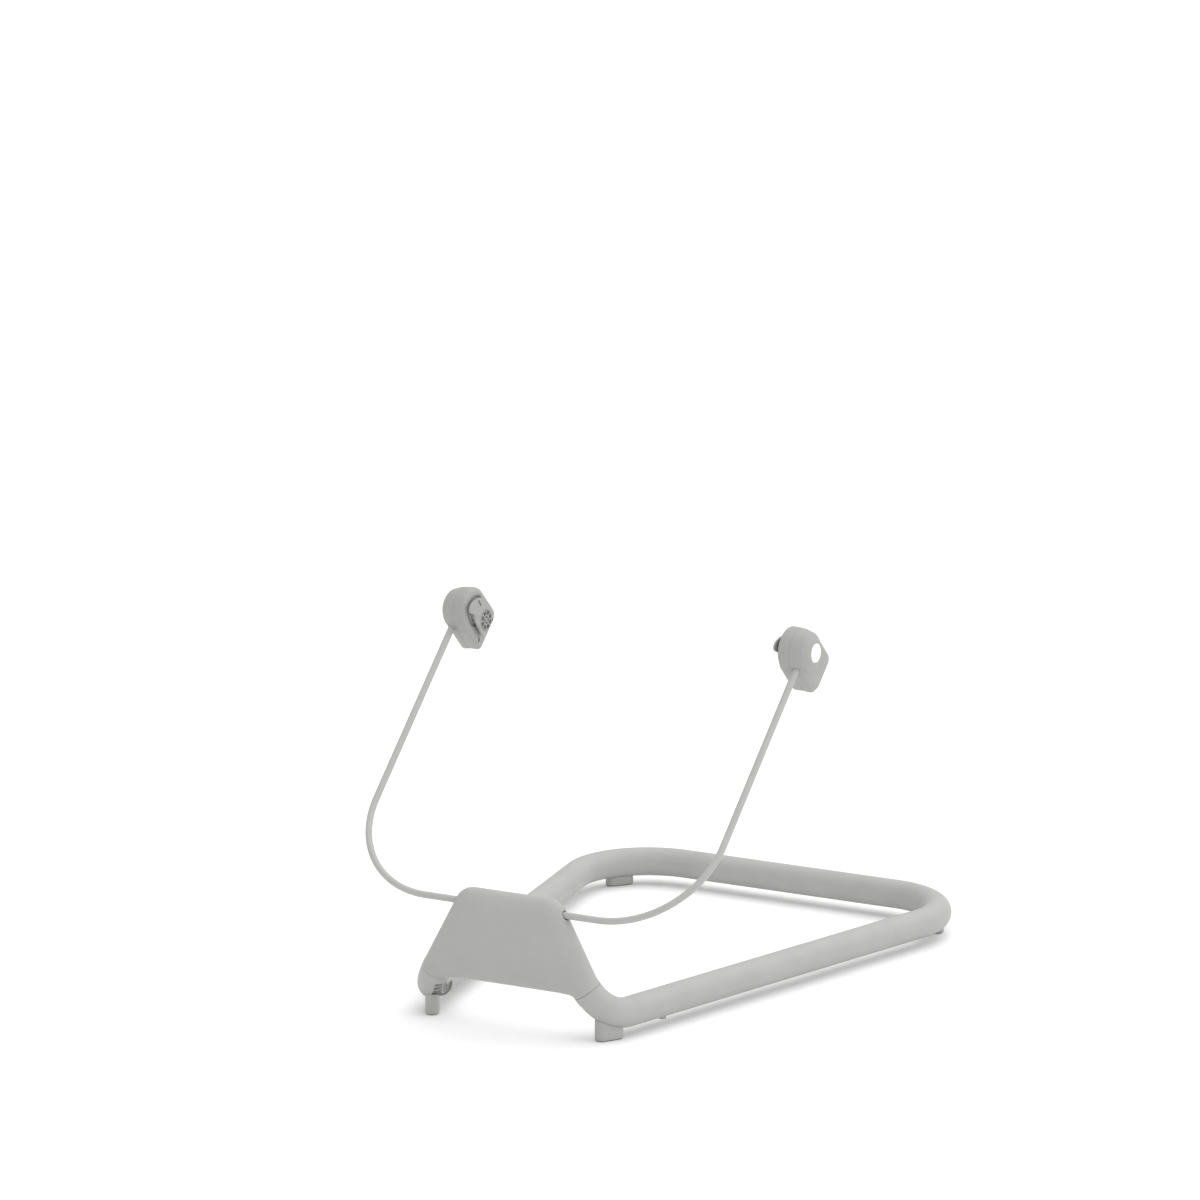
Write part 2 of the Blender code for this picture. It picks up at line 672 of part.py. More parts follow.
def make_clamp():
    mesh = bmesh.new()
    block(mesh, (-CLAMP_HALF_WIDTH, ARCH_Y + SEAT_GAP / 2, ARCH_TOP_Z - CLAMP_DOWN),
          (CLAMP_HALF_WIDTH, ARCH_Y + CLAMP_THICKNESS, ARCH_TOP_Z + CLAMP_UP))
    clamp = finish(mesh, "wire_clamp", STEEL)
    cut = bmesh.new()
    rod(cut, WIRE_AXIS - Vector((CLAMP_HALF_WIDTH + 0.001, 0, 0)),
        WIRE_AXIS + Vector((CLAMP_HALF_WIDTH + 0.001, 0, 0)), WIRE_RADIUS + SLIDE_GAP)
    for side in SIDES.values():
        x = side * CLAMP_SCREW_OUT
        z = ARCH_TOP_Z - CLAMP_SCREW_DOWN
        rod(cut, side_point(x, z, ARCH_Y - 0.001), side_point(x, z, ARCH_Y + CLAMP_THICKNESS + 0.001),
            CLAMP_SCREW_RADIUS + SLIDE_GAP, SMALL_SIDES)
    combine(clamp, make_tool(cut, "tool_clamp_bores"), "DIFFERENCE")
    for word, side in SIDES.items():
        screw = bmesh.new()
        under = side_point(side * CLAMP_SCREW_OUT, ARCH_TOP_Z - CLAMP_SCREW_DOWN,
                           ARCH_Y + CLAMP_THICKNESS + SEAT_GAP)
        pin_with_head(screw, under, FORWARD, CLAMP_SCREW_HEAD, CLAMP_HEAD_HEIGHT, CLAMP_SCREW_RADIUS,
                      CLAMP_THICKNESS + CLAMP_SCREW_DEPTH)
        finish(screw, "clamp_screw_" + word, STEEL)


def make_bushes():
    for word, side in SIDES.items():
        mesh = bmesh.new()
        inner = BUSH_OUT - CRADLE_WIDTH / 2 - SEAT_GAP - BUSH_FLANGE_WIDTH
        outline = [(0, BUSH_FLANGE), (BUSH_FLANGE_WIDTH, BUSH_FLANGE), (BUSH_FLANGE_WIDTH, BUSH_RADIUS),
                   (BUSH_FLANGE_WIDTH + CRADLE_WIDTH + 0.002, BUSH_RADIUS)]
        outward = Vector((side, 0, 0))
        turned(mesh, WIRE_AXIS + outward * inner, outward, outline, 24)
        bush = finish(mesh, "wire_bush_" + word, NATURAL_NYLON)
        bore = bmesh.new()
        rod(bore, WIRE_AXIS + outward * (inner - 0.001), WIRE_AXIS + outward * (inner + 0.014),
            WIRE_RADIUS + SLIDE_GAP)
        combine(bush, make_tool(bore, "tool_bush_bore_" + word), "DIFFERENCE")


def snap_place(side):
    """Middle of the tube over the snap button."""
    return station(LINES[side], side, SEAM_AT + SNAP_FROM_SEAM)[0]


def foot_places():
    """Middle of the tube over each foot, and the tube's direction there in plan."""
    places = {}
    rear_bend = LINES[1][5]
    rear_at = sum(run["length"] for run in LINES[1][:5]) + rear_bend["length"] * REAR_FOOT_FROM_CORNER
    for word, side in SIDES.items():
        for name, distance in (("front", SEAM_AT + FRONT_FOOT_FROM_SEAM), ("rear", rear_at)):
            point, along, outward, sideways = station(LINES[side], side, distance)
            flat = Vector((along.x, along.y, 0)).normalized()
            places[name + "_" + word] = (point, flat, distance, side)
    return places


def make_base_tube():
    full = line_length(LINES[1])
    rings = []
    right = stations_between(LINES[1], SEAM_AT + SEAT_GAP / 2, full - 1e-6)
    for radius in (TUBE_RADIUS, BORE_RADIUS):
        row = [round_ring(LINES[1], 1, mark, radius, TUBE_SIDES) for mark in right]
        mirrored = [[Vector((-point.x, point.y, point.z)) for point in ring] for ring in row]
        rings.append(row[:-1] + mirrored[-2::-1])
    mesh = bmesh.new()
    rows = [[[mesh.verts.new(point) for point in ring] for ring in wall] for wall in rings]
    for wall in rows:
        for near, far in zip(wall, wall[1:]):
            for k in range(TUBE_SIDES):
                following = (k + 1) % TUBE_SIDES
                mesh.faces.new((near[k], near[following], far[following], far[k]))
    for end in (0, -1):
        for k in range(TUBE_SIDES):
            following = (k + 1) % TUBE_SIDES
            mesh.faces.new((rows[0][end][k], rows[0][end][following], rows[1][end][following], rows[1][end][k]))
    tube = finish(mesh, "base_tube", GREY_PAINT)

    windows = bmesh.new()
    snaps = bmesh.new()
    for side in SIDES.values():
        first = SEAM_AT + WINDOW_START
        sweep_box(windows, LINES[side], side, first, first + WINDOW_LENGTH, (-TUBE_RADIUS - 0.004, -TUBE_RADIUS),
                  (-TUBE_RADIUS + WINDOW_DEPTH, TUBE_RADIUS))
        snap = snap_place(side)
        rod(snaps, snap - UP * (TUBE_RADIUS + 0.002), snap - UP * (BORE_RADIUS - 0.003),
            SNAP_RADIUS + SLIDE_GAP, SMALL_SIDES)
    feet = bmesh.new()
    for point, flat, distance, side in foot_places().values():
        rod(feet, Vector((point.x, point.y, 0)), foot_screw_end(point, distance, side),
            FOOT_SCREW_RADIUS + SLIDE_GAP, SMALL_SIDES)
    combine(tube, make_tool(feet, "tool_tube_foot_holes"), "DIFFERENCE")
    combine(tube, make_tool(snaps, "tool_snap_holes"), "DIFFERENCE")
    combine(tube, make_tool(windows, "tool_tube_windows"), "DIFFERENCE")


def tube_underside(side, distance, radius):
    """Height where a vertical line through the tube's middle meets a tube of a radius."""
    point, along, outward, sideways = station(LINES[side], side, distance)
    level = math.hypot(along.x, along.y)
    return point.z - radius / level


def foot_screw_end(point, distance, side):
    height = tube_underside(side, distance, TUBE_RADIUS) + FOOT_SCREW_REACH + 0.001
    return Vector((point.x, point.y, height))


def make_inserts():
    for word, side in SIDES.items():
        line = LINES[side]
        mesh = bmesh.new()
        in_housing = TUBE_RADIUS - HOUSING_WALL - INSERT_GAP
        in_tube = BORE_RADIUS - SEAT_GAP
        rings = []
        for mark in stations_between(line, SEAM_AT - INSERT_IN_HOUSING, SEAM_AT + 0.0005):
            rings.append(round_ring(line, side, mark, in_housing, INSERT_SIDES))
        for mark in stations_between(line, SEAM_AT + 0.0005, SEAM_AT + INSERT_IN_TUBE):
            rings.append(round_ring(line, side, mark, in_tube, INSERT_SIDES))
        loft(mesh, rings)
        insert = finish(mesh, "corner_insert_" + word, GREY_PLASTIC)

        cells = bmesh.new()
        first = SEAM_AT + WINDOW_START
        pitch = WINDOW_LENGTH / RIB_COLUMNS
        half_rib = RIB_THICKNESS / 2
        deep = -in_tube + RIB_DEPTH
        for column in range(RIB_COLUMNS):
            begin = first + pitch * column + half_rib
            end = first + pitch * (column + 1) - half_rib
            for low, high in ((-RIB_HALF_WIDTH, -half_rib), (half_rib, RIB_HALF_WIDTH)):
                sweep_box(cells, line, side, begin, end, (-TUBE_RADIUS - 0.002, low), (deep, high), (begin, end))
        combine(insert, make_tool(cells, "tool_rib_cells_" + word), "DIFFERENCE")

        bores = bmesh.new()
        snap = snap_place(side)
        rod(bores, snap - UP * (TUBE_RADIUS + 0.002), snap - UP * (TUBE_RADIUS - SNAP_BORE_TOP),
            SNAP_FLANGE + SLIDE_GAP)
        point, flat, distance, own = foot_places()["front_" + word]
        rod(bores, Vector((point.x, point.y, 0)), foot_screw_end(point, distance, side),
            FOOT_SCREW_RADIUS + SLIDE_GAP, SMALL_SIDES)
        combine(insert, make_tool(bores, "tool_insert_bores_" + word), "DIFFERENCE")

        button = bmesh.new()
        room = BORE_RADIUS * math.cos(math.pi / TUBE_SIDES) - SLIDE_GAP
        flange_bottom = math.sqrt(room ** 2 - SNAP_FLANGE ** 2)
        bottom = snap - UP * (TUBE_RADIUS + SNAP_PROUD)
        shaft = TUBE_RADIUS + SNAP_PROUD - flange_bottom
        outline = [(0, SNAP_RADIUS * 0.7), (SNAP_RADIUS * 0.3, SNAP_RADIUS), (shaft, SNAP_RADIUS),
                   (shaft, SNAP_FLANGE), (shaft + SNAP_FLANGE_HEIGHT, SNAP_FLANGE)]
        turned(button, bottom, UP, outline)
        finish(button, "snap_button_" + word, GREY_PLASTIC, bottom)

        spring = bmesh.new()
        spring_bottom = bottom + UP * (shaft + SNAP_FLANGE_HEIGHT + SEAT_GAP)
        spring_top = snap - UP * (TUBE_RADIUS - SNAP_BORE_TOP)
        height = (spring_top - spring_bottom).length - SEAT_GAP
        coil(spring, spring_bottom, UP, SNAP_SPRING_RADIUS, SNAP_SPRING_WIRE, height, SNAP_SPRING_TURNS)
        finish(spring, "snap_spring_" + word, STEEL)


def stadium(centre, along, width, length, inset, height):
    """An oblong ring with half-round ends."""
    across = UP.cross(along)
    radius = width / 2 - inset
    reach = length / 2 - width / 2
    points = []
    for sign in (1, -1):
        for k in range(7):
            angle = -math.pi / 2 + math.pi * k / 6
            out = along * math.cos(angle) * sign + across * math.sin(angle) * sign
            spot = centre + along * reach * sign + out * radius
            points.append(Vector((spot.x, spot.y, height)))
    return points


def make_feet():
    for name, (point, flat, distance, side) in foot_places().items():
        top = FOOT_TOP if name.startswith("front") else REAR_FOOT_TOP
        mesh = bmesh.new()
        levels = [(FOOT_BOTTOM, FOOT_CHAMFER), (FOOT_BOTTOM + FOOT_CHAMFER, 0), (top, 0)]
        loft(mesh, [stadium(point, flat, FOOT_WIDTH, FOOT_LENGTH, inset, height) for height, inset in levels])
        foot = finish(mesh, "foot_" + name, GREY_PLASTIC)

        saddle = bmesh.new()
        sweep_round(saddle, LINES[side], side, distance - 0.045, distance + 0.045, TUBE_RADIUS + SEAT_GAP, TUBE_SIDES)
        combine(foot, make_tool(saddle, "tool_saddle_" + name), "DIFFERENCE")

        holes = bmesh.new()
        recess = PAD_MARGIN - SEAT_GAP
        pad_room = [stadium(point, flat, FOOT_WIDTH, FOOT_LENGTH, recess, height)
                    for height in (-0.001, PAD_HEIGHT + SEAT_GAP)]
        loft(holes, pad_room)
        seat_z = PAD_HEIGHT + SEAT_GAP
        under_head = seat_z + FOOT_HEAD_HEIGHT + SEAT_GAP
        outline = [(0, FOOT_SCREW_HEAD + SLIDE_GAP), (under_head - seat_z + BITE, FOOT_SCREW_HEAD + SLIDE_GAP),
                   (under_head - seat_z + BITE, FOOT_SCREW_RADIUS + SLIDE_GAP),
                   (top, FOOT_SCREW_RADIUS + SLIDE_GAP)]
        screw_hole = bmesh.new()
        turned(screw_hole, Vector((point.x, point.y, seat_z - BITE)), UP, outline, SMALL_SIDES)
        combine(foot, make_tool(holes, "tool_pad_room_" + name), "DIFFERENCE")
        combine(foot, make_tool(screw_hole, "tool_foot_hole_" + name), "DIFFERENCE")

        pad = bmesh.new()
        loft(pad, [stadium(point, flat, FOOT_WIDTH, FOOT_LENGTH, PAD_MARGIN, height) for height in (0, PAD_HEIGHT)])
        finish(pad, "pad_" + name, SOFT_GREY)

        screw = bmesh.new()
        end = tube_underside(side, distance, TUBE_RADIUS) + FOOT_SCREW_REACH
        pin_with_head(screw, Vector((point.x, point.y, under_head)), UP, FOOT_SCREW_HEAD, FOOT_HEAD_HEIGHT,
                      FOOT_SCREW_RADIUS, end - under_head)
        finish(screw, "foot_screw_" + name, STEEL)


def wire_rings():
    """Rings of the wire from the middle to the right arm's end."""
    rings = []
    middle = WIRE_AXIS
    side_bend = Vector((WIRE_HALF_STRAIGHT, 0, 0))
    for x in (0, WIRE_HALF_STRAIGHT):
        rings.append(circle(middle + Vector((x, 0, 0)), BACK_DOWN, WIRE_DIRECTION, WIRE_RADIUS, WIRE_SIDES))
    centre = middle + side_bend + WIRE_DIRECTION * WIRE_BEND
    steps = 12
    for k in range(1, steps + 1):
        angle = math.pi / 2 * k / steps
        outward = Vector((1, 0, 0)) * math.sin(angle) - WIRE_DIRECTION * math.cos(angle)
        rings.append(circle(centre + outward * WIRE_BEND, BACK_DOWN, -outward, WIRE_RADIUS, WIRE_SIDES))
    end = Vector((WIRE_X, WIRE_AXIS.y, WIRE_AXIS.z)) + WIRE_DIRECTION * (MOUNT_U + FERRULE_TOP)
    rings.append(circle(end, BACK_DOWN, Vector((-1, 0, 0)), WIRE_RADIUS, WIRE_SIDES))
    return rings


def mount_point(side, x, v, u):
    """A point of a seat mount in the stand's frame."""
    middle = WIRE_AXIS + Vector((side * (WIRE_X + x), 0, 0)) + WIRE_DIRECTION * MOUNT_U
    return middle + BACK_DOWN * v + WIRE_DIRECTION * u


def make_wire(parent):
    mesh = bmesh.new()
    right = wire_rings()
    left = [[Vector((-point.x, point.y, point.z)) for point in ring] for ring in right[:0:-1]]
    loft(mesh, left + right)
    wire = finish(mesh, "spring_wire", GREY_WIRE, WIRE_AXIS, parent)
    cut = bmesh.new()
    for side in SIDES.values():
        rod(cut, mount_point(side, PIN_INNER_X, 0, PIN_U), mount_point(side, PIN_OUTER_X, 0, PIN_U),
            PIN_RADIUS + SLIDE_GAP, SMALL_SIDES)
    combine(wire, make_tool(cut, "tool_wire_pin_holes"), "DIFFERENCE")


def shell_ring(side, x, top, bottom, back, inset=0.0):
    """A slice of the mount's body: round above and in front, square below and behind."""
    top -= inset
    bottom -= inset
    back -= inset
    last = math.radians(70)
    if bottom < top:
        last = min(last, math.asin(bottom / top) - math.radians(8))
    points = []
    for k in range(11):
        angle = math.pi / 2 + (math.pi / 2 + last) * k / 10
        points.append((top * math.cos(angle), top * math.sin(angle)))
    slide = (bottom - top * math.sin(last)) / math.cos(last)
    points.append((-top * math.cos(last) + slide * math.sin(last), -bottom))
    low = BLOCK_LOW_CORNER
    high = BLOCK_TOP_CORNER
    for centre_v, centre_u, radius, first in ((back - low, -bottom + low, low, -90), (back - high, top - high, high, 0)):
        for k in range(4):
            angle = math.radians(first + 30 * k)
            points.append((centre_v + radius * math.cos(angle), centre_u + radius * math.sin(angle)))
    return [mount_point(side, x, v, u) for v, u in points]


def plate_ring(side, x, inset):
    """A slice of the seat plate: round in front, square behind, with a notch below."""
    radius = PLATE_RADIUS - inset
    top = PLATE_TOP - inset
    low = PLATE_LOW - inset
    back = PLATE_BACK - inset
    first = math.pi - math.asin(top / radius)
    last = math.pi + PLATE_FRONT_TURN
    points = []
    for k in range(9):
        angle = first + (last - first) * k / 8
        points.append((radius * math.cos(angle), radius * math.sin(angle)))
    points += [(v, u + inset) for v, u in (PLATE_HEEL, PLATE_NOTCH)]
    corner = PLATE_CORNER - inset
    for centre_u, first in ((-low + corner, -90), (top - corner, 0)):
        for k in range(3):
            angle = math.radians(first + 45 * k)
            points.append((back - corner + corner * math.cos(angle), centre_u + corner * math.sin(angle)))
    return [mount_point(side, x, v, u) for v, u in points]


def mount_rod(mesh, side, x_first, x_last, v, u, radius, sides=ROUND_SIDES):
    rod(mesh, mount_point(side, x_first, v, u), mount_point(side, x_last, v, u), radius, sides)


def mount_block(mesh, side, low, high):
    """A box in the mount's own directions, from corner to corner: x, v and u."""
    rings = []
    for x in (low[0], high[0]):
        rings.append([mount_point(side, x, low[1], low[2]), mount_point(side, x, high[1], low[2]),
                      mount_point(side, x, high[1], high[2]), mount_point(side, x, low[1], high[2])])
    loft(mesh, rings)


def cut_ferrule_room(mesh, side):
    """Room for the ferrule, and below it a narrower mouth that only the wire passes."""
    bottom = FERRULE_BOTTOM - SEAT_GAP
    outline = [(-BLOCK_BACK_INNER, WIRE_MOUTH), (bottom, WIRE_MOUTH), (bottom, FERRULE_RADIUS + SEAT_GAP),
               (FERRULE_TOP + SEAT_GAP, FERRULE_RADIUS + SEAT_GAP)]
    turned(mesh, mount_point(side, 0, 0, 0), WIRE_DIRECTION, outline)


BORE_SHOULDER_X = BOSS_TOP_X - OUTER_FLOOR
FLANGE_RADIUS = BUTTON_RADIUS + BUTTON_FLANGE
BUTTON_FACE_X = BOSS_TOP_X + BUTTON_PROUD
SOCKET_FACE_X = PLATE_FACE_X - SOCKET_PROUD
PLATE_BACK_X = PLATE_FACE_X + PLATE_THICKNESS
GEAR_ROOM_X = PLATE_FACE_X + PLATE_SKIN
NECK_END_X = PLATE_FACE_X + NECK_LENGTH
CHAMBER_X = INNER_FACE_X + INNER_WALL


def make_outer_shell(word, side, parent):
    mesh = bmesh.new()
    parting = PARTING_X + SEAT_GAP / 2
    slope_x = FACET_X - 0.004
    rings = [shell_ring(side, parting, BARREL_PARTING, BLOCK_BOTTOM_OUTER, BLOCK_BACK_PARTING + 0.001),
             shell_ring(side, 0.0007, BARREL_MIDDLE, BLOCK_BOTTOM_OUTER, BLOCK_BACK_OUTER - 0.0003),
             shell_ring(side, slope_x, BARREL_SLOPE, BLOCK_BOTTOM_SLOPE, BLOCK_BACK_OUTER),
             shell_ring(side, FACET_X - BLOCK_EDGE, BARREL_FACET, BLOCK_BOTTOM_FACET + 0.001, BLOCK_BACK_OUTER),
             shell_ring(side, FACET_X, BARREL_FACET, BLOCK_BOTTOM_FACET, BLOCK_BACK_OUTER, BLOCK_EDGE)]
    loft(mesh, rings)
    shell = finish(mesh, "outer_shell_" + word, GREY_PLASTIC, WIRE_AXIS, parent)
    boss = bmesh.new()
    outline = [(slope_x, BOSS_ROOT), (FACET_X, BOSS_SHOULDER), ((FACET_X + BOSS_TOP_X) / 2, BOSS_MIDDLE),
               (BOSS_TOP_X - 0.0012, BOSS_OUTER), (BOSS_TOP_X, BOSS_RIM)]
    turned(boss, mount_point(side, 0, 0, 0), Vector((side, 0, 0)), outline, 30)
    combine(shell, make_tool(boss, "tool_boss_" + word), "UNION")

    cut = bmesh.new()
    outline = [(0, CAVITY_RADIUS), (BORE_SHOULDER_X - PARTING_X + 0.001, CAVITY_RADIUS),
               (BORE_SHOULDER_X - PARTING_X + 0.001, BUTTON_RADIUS + SLIDE_GAP),
               (0.030, BUTTON_RADIUS + SLIDE_GAP)]
    turned(cut, mount_point(side, PARTING_X - 0.001, 0, 0), Vector((side, 0, 0)), outline, 24)
    mount_block(cut, side, (PARTING_X - 0.001, 0.0155, 0), (FACET_X - 0.0025, 0.034, 0.0165))
    mount_block(cut, side, (PARTING_X - 0.001, 0.0155, -0.0255), (FACET_X - 0.0035, 0.0255, -0.003))
    combine(shell, make_tool(cut, "tool_outer_room_" + word), "DIFFERENCE")
    holes = bmesh.new()
    cut_ferrule_room(holes, side)
    for v, u in SHELL_SCREW_PLACES.values():
        mount_rod(holes, side, PARTING_X - 0.001, SHELL_SCREW_END_X + SLIDE_GAP, v, u,
                  SHELL_SCREW_RADIUS + SLIDE_GAP, SMALL_SIDES)
    combine(shell, make_tool(holes, "tool_outer_holes_" + word), "DIFFERENCE")
    pin = bmesh.new()
    mount_rod(pin, side, PIN_INNER_X - SLIDE_GAP, PIN_OUTER_X + SLIDE_GAP, 0, PIN_U, PIN_RADIUS + SLIDE_GAP, SMALL_SIDES)
    combine(shell, make_tool(pin, "tool_pin_hole_" + word), "DIFFERENCE")


def make_inner_shell(word, side, parent):
    mesh = bmesh.new()
    parting = PARTING_X - SEAT_GAP / 2
    rings = [shell_ring(side, INNER_FACE_X, BARREL_INNER, BLOCK_BOTTOM_INNER, BLOCK_BACK_INNER, BLOCK_EDGE),
             shell_ring(side, INNER_FACE_X + BLOCK_EDGE, BARREL_INNER, BLOCK_BOTTOM_INNER, BLOCK_BACK_INNER),
             shell_ring(side, parting, BARREL_PARTING, BLOCK_BOTTOM_INNER, BLOCK_BACK_PARTING)]
    loft(mesh, rings)
    shell = finish(mesh, "inner_shell_" + word, GREY_PLASTIC, WIRE_AXIS, parent)

    axis = mount_point(side, 0, 0, 0)
    cut = bmesh.new()
    chamber_end = CHAMBER_X + CHAMBER_DEPTH
    outline = [(INNER_FACE_X - 0.001, NECK_RADIUS + SLIDE_GAP), (CHAMBER_X, NECK_RADIUS + SLIDE_GAP),
               (CHAMBER_X, CHAMBER_RADIUS), (chamber_end, CHAMBER_RADIUS),
               (chamber_end, CAVITY_RADIUS), (PARTING_X + 0.001, CAVITY_RADIUS)]
    turned(cut, axis, Vector((side, 0, 0)), outline, 24)
    combine(shell, make_tool(cut, "tool_inner_room_" + word), "DIFFERENCE")

    holes = bmesh.new()
    cut_ferrule_room(holes, side)
    for v, u in SHELL_SCREW_PLACES.values():
        sink = INNER_FACE_X + SHELL_SCREW_SINK + SEAT_GAP
        outline = [(0, SHELL_SCREW_HEAD + SLIDE_GAP), (sink - INNER_FACE_X + 0.001, SHELL_SCREW_HEAD + SLIDE_GAP),
                   (sink - INNER_FACE_X + 0.001, SHELL_SCREW_RADIUS + SLIDE_GAP),
                   (0.030, SHELL_SCREW_RADIUS + SLIDE_GAP)]
        turned(holes, mount_point(side, INNER_FACE_X - 0.001, v, u), Vector((side, 0, 0)), outline, SMALL_SIDES)
    combine(shell, make_tool(holes, "tool_inner_holes_" + word), "DIFFERENCE")
    combine(shell, bpy.data.objects["tool_pin_hole_" + word], "DIFFERENCE")


def toothed_ring(side, x, radius):
    """A ring of shallow teeth about the mount's axis."""
    points = []
    for k in range(GEAR_TEETH * 2):
        angle = math.tau * (k + 0.5) / (GEAR_TEETH * 2)
        reach = radius - (GEAR_TOOTH if k % 2 else 0)
        points.append(mount_point(side, x, reach * math.cos(angle), reach * math.sin(angle)))
    return points


def make_seat_plate(word, side, parent):
    """The plate that the seat fits on, with the round neck that it turns on."""
    axis = mount_point(side, 0, 0, 0)
    outward = Vector((side, 0, 0))
    mesh = bmesh.new()
    loft(mesh, [plate_ring(side, PLATE_FACE_X, PLATE_EDGE), plate_ring(side, PLATE_FACE_X + PLATE_EDGE, 0),
                plate_ring(side, PLATE_BACK_X, 0)])
    plate = finish(mesh, "seat_plate_" + word, GREY_PLASTIC, axis, parent)

    neck = bmesh.new()
    ring_x = CHAMBER_X + SLIDE_GAP
    ring_end_x = ring_x + RING_WIDTH + 2 * SEAT_GAP
    outline = [(PLATE_BACK_X - BITE, NECK_RADIUS), (ring_x - SEAT_GAP, NECK_RADIUS), (ring_x - SEAT_GAP, RING_GROOVE),
               (ring_end_x, RING_GROOVE), (ring_end_x, NECK_RADIUS), (NECK_END_X, NECK_RADIUS)]
    turned(neck, axis, outward, outline, 24)
    combine(plate, make_tool(neck, "tool_neck_" + word), "UNION")
    collar = bmesh.new()
    mount_rod(collar, side, PLATE_FACE_X + 0.0004, INNER_FACE_X - SOCKET_COLLAR_GAP, SOCKET_V, SOCKET_U,
              SOCKET_RADIUS + SOCKET_COLLAR + SLIDE_GAP, 24)
    combine(plate, make_tool(collar, "tool_collar_" + word), "UNION")

    room = bmesh.new()
    loft(room, [toothed_ring(side, GEAR_ROOM_X, GEAR_RADIUS + SLIDE_GAP),
                toothed_ring(side, NECK_END_X + 0.001, GEAR_RADIUS + SLIDE_GAP)])
    combine(plate, make_tool(room, "tool_gear_room_" + word), "DIFFERENCE")
    holes = bmesh.new()
    mount_rod(holes, side, PLATE_FACE_X - 0.002, SOCKET_FACE_X + SOCKET_DEPTH + SEAT_GAP, SOCKET_V, SOCKET_U,
              SOCKET_RADIUS + SEAT_GAP, 24)
    mount_block(holes, side, (PLATE_FACE_X - 0.001, SLIT_V - SLIT_LENGTH / 2, SLIT_U - SLIT_WIDTH / 2),
                (PLATE_FACE_X + SLIT_DEPTH, SLIT_V + SLIT_LENGTH / 2, SLIT_U + SLIT_WIDTH / 2))
    combine(plate, make_tool(holes, "tool_plate_holes_" + word), "DIFFERENCE")

    ring = bmesh.new()
    sections = []
    steps = 20
    for k in range(steps + 1):
        angle = RING_OPENING / 2 + (math.tau - RING_OPENING) * k / steps
        section = []
        for x, radius in ((ring_x, RING_GROOVE + SEAT_GAP), (ring_x, RING_OUTER),
                          (ring_x + RING_WIDTH, RING_OUTER), (ring_x + RING_WIDTH, RING_GROOVE + SEAT_GAP)):
            section.append(mount_point(side, x, radius * math.cos(angle), radius * math.sin(angle)))
        sections.append(section)
    loft(ring, sections)
    finish(ring, "neck_ring_" + word, STEEL, axis, parent)


def make_lock_gear(word, side, parent):
    axis = mount_point(side, 0, 0, 0)
    mesh = bmesh.new()
    loft(mesh, [toothed_ring(side, NECK_END_X - GEAR_WIDTH, GEAR_RADIUS), toothed_ring(side, NECK_END_X, GEAR_RADIUS)])
    finish(mesh, "lock_gear_" + word, NATURAL_NYLON, axis, parent)

    spring = bmesh.new()
    height = NECK_END_X - GEAR_WIDTH - GEAR_ROOM_X - 2 * SEAT_GAP
    start = mount_point(side, GEAR_ROOM_X + SEAT_GAP, 0, 0)
    coil(spring, start, Vector((side, 0, 0)), RELEASE_COIL, RELEASE_WIRE, height, RELEASE_TURNS)
    finish(spring, "release_spring_" + word, STEEL, start, parent)


def make_release_button(word, side, parent):
    outward = Vector((side, 0, 0))
    disc_back_x = BUTTON_FACE_X - DISC_THICKNESS
    piston_face_x = disc_back_x - SEAT_GAP
    flange_face_x = BORE_SHOULDER_X - SLIDE_GAP
    flange_back_x = flange_face_x - FLANGE_THICKNESS
    stem_end_x = NECK_END_X + SEAT_GAP
    axis = mount_point(side, 0, 0, 0)

    mesh = bmesh.new()
    outline = [(stem_end_x, STEM_RADIUS), (flange_back_x, STEM_RADIUS), (flange_back_x, FLANGE_RADIUS),
               (flange_face_x, FLANGE_RADIUS), (flange_face_x, BUTTON_RADIUS), (piston_face_x, BUTTON_RADIUS)]
    turned(mesh, axis, outward, outline, 24)
    finish(mesh, "release_button_" + word, GREY_PLASTIC, axis, parent)

    disc = bmesh.new()
    outline = [(disc_back_x, BUTTON_RADIUS), (BUTTON_FACE_X - 0.0003, BUTTON_RADIUS),
               (BUTTON_FACE_X, BUTTON_RADIUS - 0.0003)]
    turned(disc, axis, outward, outline, 24)
    finish(disc, "button_disc_" + word, WHITE_PLASTIC, axis, parent)


def make_socket(word, side, parent):
    """The ribbed ring of pockets in the seat plate's tail."""
    axis = mount_point(side, 0, 0, 0)
    mesh = bmesh.new()
    mount_rod(mesh, side, SOCKET_FACE_X, SOCKET_FACE_X + SOCKET_DEPTH, SOCKET_V, SOCKET_U, SOCKET_RADIUS, 24)
    socket = finish(mesh, "seat_socket_" + word, GREY_PLASTIC, axis, parent)
    cut = bmesh.new()
    for count, circle_radius, hole in ((SOCKET_HOLES, SOCKET_HOLE_CIRCLE, SOCKET_HOLE_RADIUS),
                                       (SOCKET_INNER_HOLES, SOCKET_INNER_CIRCLE, SOCKET_INNER_RADIUS)):
        for k in range(count):
            angle = math.tau * (k + 0.5) / count
            v = SOCKET_V + circle_radius * math.cos(angle)
            u = SOCKET_U + circle_radius * math.sin(angle)
            mount_rod(cut, side, SOCKET_FACE_X - 0.001, SOCKET_FACE_X + SOCKET_DEPTH + 0.001, v, u, hole, 10)
    combine(socket, make_tool(cut, "tool_socket_holes_" + word), "DIFFERENCE")


